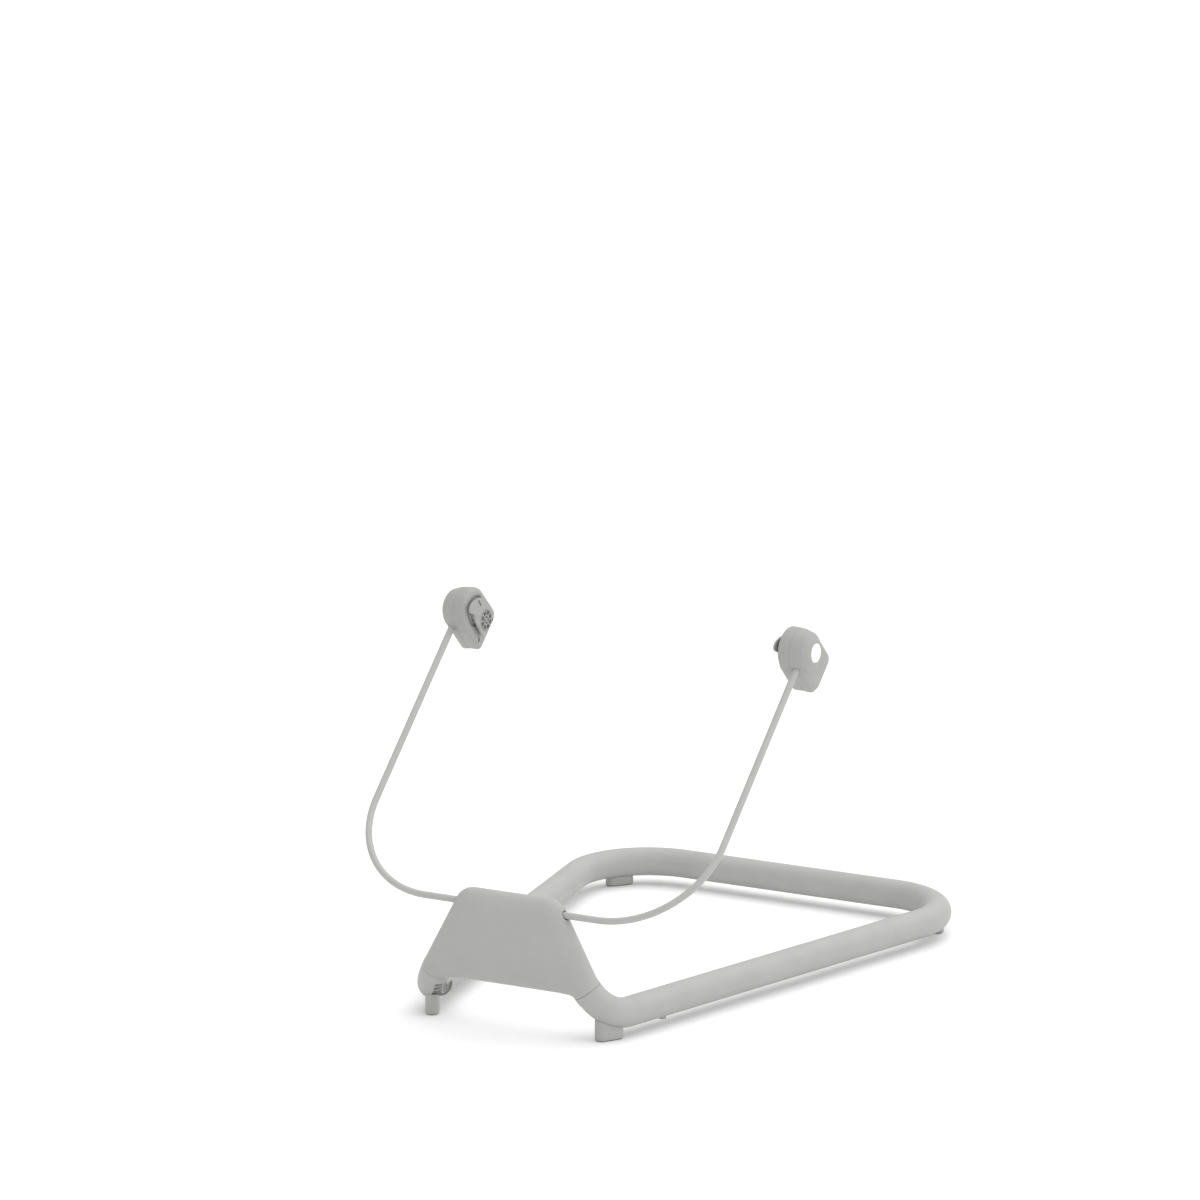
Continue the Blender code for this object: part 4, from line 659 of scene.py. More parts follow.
class BOUNCER_OT_base_tube(bpy.types.Operator):
    """Make the bent base tube with its rib windows and snap holes"""
    bl_idname = "bouncer.base_tube"
    bl_label = "Base Tube"

    def execute(self, context):
        sizes = context.scene.bouncer_base
        line = Line(sizes)
        mesh = bmesh.new()
        seam = line.seam_at + SEAT_GAP / 2
        start, end = pipe(mesh, line.runs, seam, line.total, sizes.tube_radius, closed=False)
        face_outwards(mesh)
        mirror_across(mesh, "X", 1e-5)
        merge_near(mesh, MERGE)
        face_outwards(mesh)
        bmesh.ops.solidify(mesh, geom=mesh.faces[:], thickness=sizes.tube_wall)
        ease_seam_rims(mesh, line, seam)
        tube = new_piece(mesh, "dressed_tube", "tube_paint")

        for side in SIDES.values():
            flip = Matrix.Scale(side, 4, RIGHT)
            first = line.seam_at + WINDOW_START
            window = bmesh.new()
            place = station(line.runs, first)
            low = -sizes.tube_radius - 0.004
            high = -sizes.tube_radius + WINDOW_DEPTH
            wide = sizes.tube_radius
            loop = loop_of(window, [place @ Vector(corner) for corner in
                                    ((low, -wide, 0), (high, -wide, 0), (high, wide, 0), (low, wide, 0))])
            end = carry(window, loop, line.runs, first, first + WINDOW_LENGTH)
            bmesh.ops.holes_fill(window, edges=loop + end, sides=0)
            bmesh.ops.transform(window, matrix=flip, verts=window.verts[:])
            carve(tube, window)
            snap = bmesh.new()
            middle = station(line.runs, line.seam_at + SNAP_FROM_SEAM).translation
            place = axes(middle, -UP, BACK, RIGHT)
            bar(snap, sizes.tube_radius - 0.006, sizes.tube_radius + 0.004, SNAP_RADIUS + SLIDE_GAP, place)
            bmesh.ops.transform(snap, matrix=flip, verts=snap.verts[:])
            carve(tube, snap)
        settle(tube, "base", "tube_paint", "base_tube")
        return {"FINISHED"}


EDGE_TURN = math.radians(55)
EDGE_FLAT = 0.0015
EDGE_DROP = 0.0002


def edge_profile(radius, levels):
    """Steps in and forward along the panel's edge: slimmer than a quarter round, then eased."""
    inward = radius - EDGE_FLAT
    forward = radius - EDGE_DROP
    points = []
    for step in range(levels + 1):
        angle = EDGE_TURN * step / levels
        points.append((inward * (1 - math.cos(angle)) / (1 - math.cos(EDGE_TURN)),
                       forward * math.sin(angle) / math.sin(EDGE_TURN)))
    slope = forward * (1 - math.cos(EDGE_TURN)) / math.tan(EDGE_TURN) / (inward * math.sin(EDGE_TURN))
    ease = 2 * EDGE_DROP / slope
    for part in (0.25, 0.5, 0.75, 1.0):
        points.append((inward + ease * part, forward + 2 * EDGE_DROP * (part - part ** 2 / 2)))
    return [(after[0] - before[0], after[1] - before[1]) for before, after in zip(points, points[1:])]


def rounder_legs(mesh, flat_start, line, radius, leg_end):
    """Turn the section fully round towards the leg ends, where it meets the tube."""
    for vert in mesh.verts:
        away = Vector((abs(vert.co.x), vert.co.y, vert.co.z)) - flat_start
        past = away.dot(line.leg) / leg_end
        reach = math.hypot(away.dot(line.leg_out), away.y)
        if past > 0 and radius * 0.8 < reach < radius * 1.01:
            part = min(1.0, past) ** 2 * (3 - 2 * min(1.0, past))
            across = line.leg_out * away.dot(line.leg_out)
            grow = (radius / reach - 1) * part
            side = 1 if vert.co.x >= 0 else -1
            vert.co += Vector((side * across.x * grow, away.y * grow, across.z * grow))


def arch_skin(line, radius, leg_end, levels=EDGE_LEVELS):
    """The housing's closed shape with rounded edges, its leg ends cut open."""
    sizes = line.sizes
    flat_start = Vector((line.bend_start.x, 0, line.bend_start.z))
    outer = flat_start + line.leg_out * radius
    inner = flat_start - line.leg_out * radius
    fall = -line.leg.z
    spare = leg_end + radius + 0.006
    top = sizes.arch_top_z + radius
    bottom = line.panel_line_z - radius
    shoulder = outer - line.leg * ((top - outer.z) / fall)
    armpit = inner + line.leg * ((inner.z - bottom) / fall)
    right = [shoulder, outer + line.leg * spare, inner + line.leg * spare, armpit]
    left = [Vector((-point.x, 0, point.z)) for point in right[::-1]]
    mesh = bmesh.new()
    plate_of(mesh, right + left)
    mesh.verts.ensure_lookup_table()
    turn = RIGHT.angle(line.leg)
    shoulders = [mesh.verts[0], mesh.verts[7]]
    armpits = [mesh.verts[3], mesh.verts[4]]
    for corners, bend, segments in ((shoulders, sizes.arch_bend + radius, SHOULDER_STEPS),
                                    (armpits, sizes.panel_fillet, FILLET_STEPS)):
        round_corners(mesh, corners, bend * math.tan(turn / 2), segments)
    mesh.faces.ensure_lookup_table()
    face = mesh.faces[0]
    for inward, forward in edge_profile(radius, levels):
        step_in(mesh, face, inward, forward)
    mirror_across(mesh, "Y", MERGE)
    merge_near(mesh, RIM_MERGE)
    for side in SIDES.values():
        along = Vector((side * line.leg.x, 0, line.leg.z))
        start = Vector((side * flat_start.x, 0, flat_start.z))
        for part in (1.0, 0.8, 0.6, 0.4, 0.2, 0.0):
            bmesh.ops.bisect_plane(mesh, geom=whole(mesh), dist=1e-7, plane_no=along,
                                   plane_co=start + along * leg_end * part, clear_outer=part == 1.0)
    rounder_legs(mesh, flat_start, line, radius, leg_end)
    bmesh.ops.translate(mesh, verts=mesh.verts[:], vec=(0, -sizes.arch_y, 0))
    for vert in mesh.verts:
        vert.co = line.bend_past_leg(vert.co)
    face_outwards(mesh)
    return mesh


def panel_face(line, inset, y):
    """The outline of the panel's flat face, drawn in by an inset."""
    sizes = line.sizes
    start = Vector((line.bend_start.x, y, line.bend_start.z)) - line.leg_out * inset
    fall = -line.leg.z
    top = sizes.arch_top_z - inset
    bottom = line.panel_line_z + inset
    upper = start - line.leg * ((top - start.z) / fall)
    lower = start + line.leg * ((start.z - bottom) / fall)
    mirror = Matrix.Scale(-1, 4, RIGHT)
    return [upper, lower, mirror @ lower, mirror @ upper]


def cover_shape(line, inset):
    """The room of the rear cover in the panel's face, drawn in by an inset; the ears are not part of it."""
    sizes = line.sizes
    back = -sizes.arch_y + sizes.tube_radius
    front = back - sizes.housing_wall - 0.003
    mesh = bmesh.new()
    face = plate_of(mesh, panel_face(line, inset, front))
    mesh.verts.ensure_lookup_table()
    turn = RIGHT.angle(line.leg)
    reach = max(0.002, sizes.arch_bend - inset) * math.tan(turn / 2)
    round_corners(mesh, [mesh.verts[0], mesh.verts[3]], reach, 12)
    mesh.verts.ensure_lookup_table()
    mesh.faces.ensure_lookup_table()
    pull(mesh, mesh.faces[0], (0, back + 0.004 - front, 0))
    return mesh


# How far the cover's ears reach to both sides of the arch's upper corner, and where the wire's ways start
EAR_IN = 0.024
EAR_OUT = 0.035
WAY_START = 0.058


def cover_ears(line, wire_hole, gap):
    """The room of the cover's two ears, behind the wire."""
    sizes = line.sizes
    mesh = bmesh.new()
    back = -sizes.arch_y + sizes.tube_radius + 0.004
    for side in SIDES.values():
        near, far = sorted((side * (sizes.arch_top_half - EAR_IN), side * (sizes.arch_top_half + EAR_OUT)))
        box_between(mesh, (near, -sizes.arch_y + gap, sizes.arch_top_z - wire_hole + gap),
                    (far, back, sizes.arch_top_z + wire_hole - gap))
    return mesh


COVER_SCREW_RADIUS = 0.0016
COVER_SCREW_HEAD = 0.0032
COVER_HEAD_HEIGHT = 0.0012
COVER_SCREW_LENGTH = 0.014
UPPER_POST_IN = 0.013
UPPER_POST_DOWN = 0.015
LOWER_POST_IN = 0.022
LOWER_POST_UP = 0.010


def cover_screw_places(line):
    """Middles of the rear cover's screws on the right: x and z."""
    sizes = line.sizes
    lower_z = line.panel_line_z + LOWER_POST_UP
    slope = line.leg.x / -line.leg.z
    lower_half = sizes.arch_top_half + (sizes.arch_top_z - lower_z) * slope
    return {"upper": (sizes.arch_top_half - UPPER_POST_IN, sizes.arch_top_z - UPPER_POST_DOWN),
            "lower": (lower_half - LOWER_POST_IN, lower_z)}


class BOUNCER_OT_housing(bpy.types.Operator):
    """Make the arch housing and its rear cover"""
    bl_idname = "bouncer.housing"
    bl_label = "Arch Housing"

    def execute(self, context):
        sizes = context.scene.bouncer_base
        wire = context.scene.bouncer_wire
        line = Line(sizes)
        leg_end = line.seam_past - SEAT_GAP / 2
        shell = arch_skin(line, sizes.tube_radius, leg_end)
        bmesh.ops.solidify(shell, geom=shell.faces[:], thickness=sizes.housing_wall)
        ease_seam_rims(shell, line, line.bend_at + leg_end)
        housing = new_piece(shell, "dressed_housing", "grey_plastic")
        cover = copy_of(housing, "dressed_rear_cover")

        carve(housing, cover_shape(line, sizes.cover_inset))
        carve(housing, cover_ears(line, wire.hole, 0))
        carve(housing, self.wire_ways(line, wire.hole, 0.035))

        room = cover_shape(line, sizes.cover_inset + SEAT_GAP)
        both = new_piece(room, "cover_room")
        carve(both, cover_ears(line, wire.hole, SEAT_GAP), "UNION")
        joined = bmesh.new()
        joined.from_mesh(both.data)
        bpy.data.objects.remove(both, do_unlink=True)
        carve(cover, joined, "INTERSECT")
        carve(cover, self.wire_ways(line, wire.radius + 0.0012, 0.040))
        for side in SIDES.values():
            for x, z in cover_screw_places(line).values():
                place = axes(Vector((side * x, -sizes.arch_y + sizes.tube_radius, z)), -BACK, UP, RIGHT)
                wide = COVER_SCREW_HEAD + SLIDE_GAP
                narrow = COVER_SCREW_RADIUS + SLIDE_GAP
                deep = COVER_HEAD_HEIGHT + SEAT_GAP
                cut_with(cover, turned, stepped_hole(-0.002, wide, deep, narrow, 0.006), place, 32)
        settle(housing, "base", "grey_plastic", "arch_housing")
        settle(cover, "base", "grey_plastic", "rear_cover")
        return {"FINISHED"}

    def wire_ways(self, line, radius, reach):
        """The two ways through which the wire leaves the housing."""
        mesh = bmesh.new()
        axis = Vector((0, -line.sizes.arch_y, line.sizes.arch_top_z))
        for side in SIDES.values():
            place = axes(axis, RIGHT * side, BACK, UP)
            bar(mesh, WAY_START, line.sizes.arch_top_half + reach, radius, place, 40)
        return mesh


def wire_frame(sizes, wire):
    """The wire's axis in the housing, and its two directions off it."""
    axis = Vector((0, -sizes.arch_y, sizes.arch_top_z))
    upward = Vector((0, math.sin(wire.lean), math.cos(wire.lean)))
    back_down = Vector((0, math.cos(wire.lean), -math.sin(wire.lean)))
    return axis, upward, back_down


class BOUNCER_OT_spring_wire(bpy.types.Operator):
    """Make the sprung wire that carries the seat mounts"""
    bl_idname = "bouncer.spring_wire"
    bl_label = "Spring Wire"

    def execute(self, context):
        wire = context.scene.bouncer_wire
        axis, upward, back_down = wire_frame(context.scene.bouncer_base, wire)
        mesh = bmesh.new()
        made = bmesh.ops.create_circle(mesh, cap_ends=False, radius=wire.radius, segments=WIRE_SIDES,
                                       matrix=axes(axis, back_down, upward, RIGHT))
        loop = list({edge for vert in made["verts"] for edge in vert.link_edges})
        bend_start = axis + RIGHT * wire.half_straight
        bend_axis = RIGHT.cross(upward).normalized()
        bend_length = wire.bend * math.pi / 2
        arm = wire.rise + FERRULE_TOP - wire.bend
        runs = [{"start": axis, "along": RIGHT, "length": wire.half_straight},
                {"start": bend_start, "along": RIGHT, "length": bend_length, "axis": bend_axis,
                 "centre": bend_start + upward * wire.bend, "radius": wire.bend},
                {"start": bend_start, "along": upward, "length": arm}]
        end = carry(mesh, loop, runs, 0, wire.half_straight + bend_length + arm)
        bmesh.ops.holes_fill(mesh, edges=end, sides=0)
        mirror_across(mesh, "X", 1e-5)
        piece = new_piece(mesh, "dressed_wire", "wire_coat")
        settle(piece, "rocker", "wire_coat", "spring_wire")
        return {"FINISHED"}


# Feet, pads and snap buttons

FOOT_BOTTOM = 0.001
FOOT_EDGE = 0.001
FRONT_FOOT_TOP = 0.030
REAR_FOOT_TOP = 0.024
PAD_MARGIN = 0.0015
PAD_HEIGHT = 0.0025


def oblong(middle, along, width, reach_length, inset, height, steps=14):
    """Points of a flat ring with half-round ends."""
    across = UP.cross(along)
    radius = width / 2 - inset
    reach = reach_length / 2 - width / 2
    points = []
    for sign in (1, -1):
        for step in range(steps + 1):
            angle = -math.pi / 2 + math.pi * step / steps
            out = (along * math.cos(angle) + across * math.sin(angle)) * sign
            spot = middle + along * reach * sign + out * radius
            points.append(Vector((spot.x, spot.y, height)))
    return points


PAD_EDGE = 0.0004
# The ring groove under a pad: steps inwards and out of its face
PAD_GROOVE = ((0.0014, 0), (0.0002, -0.0005), (0.0006, 0), (0.0002, 0.0005))
SADDLE_HALF = 0.030
FOOT_SCREW_HEAD_ROOM = 0.0041
FOOT_SCREW_SHANK_ROOM = 0.0023
FOOT_SCREW_HEAD_HEIGHT = 0.0022


class BOUNCER_OT_feet(bpy.types.Operator):
    """Make the four feet and the pads under them"""
    bl_idname = "bouncer.feet"
    bl_label = "Feet"

    def execute(self, context):
        sizes = context.scene.bouncer_base
        line = Line(sizes)
        places = {"front": (line.seam_at + FRONT_FOOT_FROM_SEAM, FRONT_FOOT_TOP),
                  "rear": (line.rear_foot_at, REAR_FOOT_TOP)}
        for row, (distance, top) in places.items():
            place = station(line.runs, distance)
            along = place.col[2].xyz
            flat = Vector((along.x, along.y, 0)).normalized()
            middle = place.translation
            mesh = bmesh.new()
            face = plate_of(mesh, oblong(middle, flat, sizes.foot_width, sizes.foot_length, 0, top)[::-1])
            face = pull(mesh, face, (0, 0, FOOT_BOTTOM + FOOT_EDGE - top))
            turn_away(mesh, face, UP)
            round_rim(mesh, face, FOOT_EDGE, 4)
            step_in(mesh, face, PAD_MARGIN - SEAT_GAP - FOOT_EDGE, 0)
            step_in(mesh, face, 0, FOOT_BOTTOM - PAD_HEIGHT - SEAT_GAP)
            foot = new_piece(mesh, "dressed_foot_" + row + "_right", "grey_plastic")
            cut_with(foot, pipe, line.runs, distance - SADDLE_HALF, distance + SADDLE_HALF,
                     sizes.tube_radius + SEAT_GAP)
            self.drill(foot, middle, top)

            pad_mesh = bmesh.new()
            outline = oblong(middle, flat, sizes.foot_width, sizes.foot_length, PAD_MARGIN, PAD_HEIGHT)
            face = plate_of(pad_mesh, outline)
            face = pull(pad_mesh, face, (0, 0, PAD_EDGE - PAD_HEIGHT))
            turn_away(pad_mesh, face, UP)
            round_rim(pad_mesh, face, PAD_EDGE, 3)
            for inward, forward in PAD_GROOVE:
                step_in(pad_mesh, face, inward, forward)
            pad = new_piece(pad_mesh, "dressed_pad_" + row + "_right", "rubber_pad")
            for piece, slot, kind in ((foot, "grey_plastic", "foot_"), (pad, "rubber_pad", "pad_")):
                settle_pair(piece, "dressed_" + kind + row, "base", slot, kind + row)
        return {"FINISHED"}

    def drill(self, foot, middle, top):
        """Make room for the foot's screw."""
        seat = PAD_HEIGHT + SEAT_GAP - 0.0005
        head_top = PAD_HEIGHT + FOOT_SCREW_HEAD_HEIGHT + 2 * SEAT_GAP + 0.0005
        place = axes(Vector((middle.x, middle.y, 0)), UP, RIGHT, BACK)
        outline = stepped_hole(seat, FOOT_SCREW_HEAD_ROOM, head_top, FOOT_SCREW_SHANK_ROOM, top)
        cut_with(foot, turned, outline, place, 32)


class BOUNCER_OT_snap_buttons(bpy.types.Operator):
    """Make the snap buttons under the side rails"""
    bl_idname = "bouncer.snap_buttons"
    bl_label = "Snap Buttons"

    def execute(self, context):
        sizes = context.scene.bouncer_base
        line = Line(sizes)
        bore = (sizes.tube_radius - sizes.tube_wall) * math.cos(math.pi / 20) - SLIDE_GAP
        flange_bottom = math.sqrt(bore ** 2 - SNAP_FLANGE ** 2)
        shaft = sizes.tube_radius + SNAP_PROUD - flange_bottom
        middle = station(line.runs, line.seam_at + SNAP_FROM_SEAM).translation
        place = axes(middle - UP * (sizes.tube_radius + SNAP_PROUD), UP, RIGHT, BACK)
        outline = [(0, 0), (0, SNAP_RADIUS * SNAP_FLAT)]
        for step in range(1, 7):
            angle = math.pi / 2 * step / 6
            outline.append((SNAP_RADIUS * SNAP_DOME * (1 - math.cos(angle)),
                            SNAP_RADIUS * (SNAP_FLAT + (1 - SNAP_FLAT) * math.sin(angle))))
        outline += [(shaft, SNAP_RADIUS), (shaft, SNAP_FLANGE), (shaft + SNAP_FLANGE_HEIGHT, SNAP_FLANGE),
                    (shaft + SNAP_FLANGE_HEIGHT, 0)]
        mesh = bmesh.new()
        turned(mesh, outline, place, 40)
        piece = new_piece(mesh, "dressed_snap_right", "grey_plastic")
        settle_pair(piece, "dressed_snap", "snap", "grey_plastic", "snap_button")
        return {"FINISHED"}


# Seat mounts, in their own directions: x outwards, then back and down, then along the wire

INNER_FACE_X = -0.0218
PLATE_FACE_X = -0.0283
PARTING_X = -0.0052
FACET_X = 0.0085
BOSS_TOP_X = 0.016
SHELL_LINE = 0.00004
# The dome round the button: places along the mount's axis and radii
DOME = ((0.0045, 0.0243), (0.0065, 0.02405), (0.0085, 0.0234), (0.0104, 0.0220), (0.0122, 0.0199),
        (0.0136, 0.01795), (0.0148, 0.0160), (0.0156, 0.01475), (0.0160, 0.0138))
BLOCK_BACK_INNER = 0.0445
BLOCK_BACK_PARTING = 0.0450
BLOCK_BACK_OUTER = 0.0465
BLOCK_BOTTOM_INNER = 0.0272
BLOCK_BOTTOM_PARTING = 0.0270
BLOCK_BOTTOM_OUTER = 0.0277
BLOCK_BOTTOM_SLOPE = 0.0272
BLOCK_BOTTOM_FACET = 0.0190
# Two hollows in the outer shell's block: their low and high corners
BLOCK_ROOMS = (((PARTING_X - 0.001, 0.0155, 0), (FACET_X - 0.0025, 0.034, 0.0165)),
               ((PARTING_X - 0.001, 0.0155, -0.0255), (FACET_X - 0.0035, 0.0255, -0.003)))
FACET_ROUND = 0.0012
PARTING_ROUND = 0.0001
BLOCK_LOW_CORNER = 0.003
BLOCK_TOP_CORNER = 0.008
RIM_DEPTH = 0.0056
RIM_ROUND = 0.0084
RIM_LOW = 0.0036
RECESS_RADIUS = 0.0190
RECESS_DEPTH = 0.0013
PLATE_TOP = 0.0180
# The plate's front edge in millimetres: from its top round the front and the notch to its low end
PLATE_OUTLINE = ((3.0, 18.0), (-2.5, 16.9), (-8.5, 13.9), (-13.8, 9.2), (-18.0, 3.6), (-20.6, -1.4),
                 (-22.0, -5.6), (-22.0, -9.0), (-20.6, -11.9), (-18.0, -13.6), (-14.8, -13.4), (-11.4, -11.6),
                 (-8.6, -10.0), (-6.2, -10.4), (-4.0, -12.4), (-1.4, -14.2), (3.0, -15.0), (14.0, -16.1))
# The socket's pockets: their number, inner and outer radius, share of the ring, and turn
POCKETS = ((8, 0.0061, 0.0112, 0.80, 0.5), (4, 0.0020, 0.0049, 0.72, 0.5))
POCKET_CORNER = 0.0005
PLATE_LOW = 0.0174
PLATE_BACK = 0.0296
PLATE_CORNER = 0.003
PLATE_THICKNESS = 0.0026
SPRING_ROOM_X = -0.0238
SPRING_ROOM_RADIUS = 0.0092
GEAR_ROOM_X = -0.0211
PLATE_EDGE = 0.0008
NECK_RADIUS = 0.017
NECK_WAIST = 0.0112
NECK_SHOULDER = 0.0148
NECK_LENGTH = 0.0155
INNER_WALL = 0.003
CHAMBER_RADIUS = 0.0205
CHAMBER_DEPTH = 0.0063
CAVITY_RADIUS = 0.0142
OUTER_FLOOR = 0.0104
SLIT_V = -0.0083
SLIT_DEPTH = 0.0017
SLIT_U = 0.0064
SLIT_LENGTH = 0.0104
SLIT_WIDTH = 0.0024
GEAR_RADIUS = 0.0131
GEAR_TEETH = 16
GEAR_TOOTH = 0.0011
RING_GROOVE = 0.0155
RING_WIDTH = 0.0013
BUTTON_PROUD = 0.0004
DISC_THICKNESS = 0.0015
SOCKET_V = 0.0186
SOCKET_U = 0.0003
SOCKET_PROUD = 0.0005
SOCKET_DEPTH = 0.0042
SOCKET_COLLAR = 0.0018
FERRULE_RADIUS = 0.006
FERRULE_TOP = -0.0162
FERRULE_BOTTOM = -0.0235
WIRE_MOUTH = 0.0044
MOUTH_END = -0.045
MOUTH_FLARE = 0.0004
FLARE_START = -0.0282
FLARE_END = -0.0272
PIN_RADIUS = 0.0012
PIN_U = -0.0198
PIN_INNER_X = -0.009
PIN_OUTER_X = 0.0055
SHELL_SCREW_RADIUS = 0.0016
SHELL_SCREW_HEAD = 0.003
SHELL_HEAD_HEIGHT = 0.0022
SHELL_SCREW_SINK = 0.003
SHELL_SCREW_END_X = 0.004
SHELL_SCREW_PLACES = {"lower": (0.030, -0.021), "upper": (0.0395, 0.013)}


def outwards(v=0.0, u=0.0):
    """A place in a mount's own directions whose first axis points outwards."""
    return axes(Vector((0, v, u)), RIGHT, BACK, UP)


def quarter_turn(centre_v, centre_u, radius, first):
    """Points of a rounded corner, from an angle in degrees."""
    angles = [math.radians(first + 90 * step / 8) for step in range(9)]
    return [(centre_v + radius * math.cos(angle), centre_u + radius * math.sin(angle)) for angle in angles]


def shell_outline(x, top, bottom, back):
    """A slice of a mount's body: round above and in front, square below and behind."""
    last = math.radians(70)
    if bottom < top:
        last = min(last, math.asin(bottom / top) - math.radians(8))
    points = []
    steps = 44
    for step in range(steps + 1):
        angle = math.pi / 2 + (math.pi / 2 + last) * step / steps
        points.append((top * math.cos(angle), top * math.sin(angle)))
    slide = (bottom - top * math.sin(last)) / math.cos(last)
    points.append((-top * math.cos(last) + slide * math.sin(last), -bottom))
    low = BLOCK_LOW_CORNER
    high = BLOCK_TOP_CORNER
    corners = ((back - low, -bottom + low, low, -90), (back - high, top - high, high, 0))
    for centre_v, centre_u, radius, first in corners:
        points += quarter_turn(centre_v, centre_u, radius, first)
    return [Vector((x, v, u)) for v, u in points]


def skin_through(mesh, outlines):
    """Extrude a closed loop from outline to outline and close both ends."""
    verts = [mesh.verts.new(point) for point in outlines[0]]
    loop = [mesh.edges.new((verts[k - 1], verts[k])) for k in range(len(verts))]
    ends = list(loop)
    for outline in outlines[1:]:
        order = {tuple(vert.co): k for k, vert in enumerate(verts)}
        made = bmesh.ops.extrude_edge_only(mesh, edges=loop)["geom"]
        fresh = {order[tuple(part.co)]: part for part in made if isinstance(part, bmesh.types.BMVert)}
        verts = [fresh[k] for k in range(len(outline))]
        for vert, point in zip(verts, outline):
            vert.co = point
        ring = set(verts)
        loop = [part for part in made if isinstance(part, bmesh.types.BMEdge) and ring.issuperset(part.verts)]
    bmesh.ops.holes_fill(mesh, edges=ends + loop, sides=0)


def mount_pair(piece, name, body, slot, node):
    """Put a piece of the right mount in place, mirror it for the left, and say what each stands for."""
    scene = bpy.context.scene
    wire = scene.bouncer_wire
    axis, upward, back_down = wire_frame(scene.bouncer_base, wire)
    middle = axis + RIGHT * (wire.half_straight + wire.bend) + upward * wire.rise
    piece.data.transform(axes(middle, RIGHT, back_down, upward))
    piece.name = name + "_right"
    settle_pair(piece, name, body, slot, node)


def cut_wire_end(piece):
    """Make room for the wire's ferrule and pin, and below them a mouth that only the wire passes."""
    bottom = FERRULE_BOTTOM - SEAT_GAP
    wide = FERRULE_RADIUS + SEAT_GAP
    top = FERRULE_TOP + SEAT_GAP
    flare = WIRE_MOUTH + MOUTH_FLARE
    outline = [(MOUTH_END, 0), (MOUTH_END, flare), (FLARE_START, flare), (FLARE_END, WIRE_MOUTH),
               (bottom, WIRE_MOUTH), (bottom, wide), (top, wide), (top, 0)]
    cut_with(piece, turned, outline, axes(Vector((0, 0, 0)), UP, RIGHT, BACK), 48)
    cut_with(piece, bar, PIN_INNER_X - SLIDE_GAP, PIN_OUTER_X + SLIDE_GAP, PIN_RADIUS + SLIDE_GAP,
             outwards(0, PIN_U))


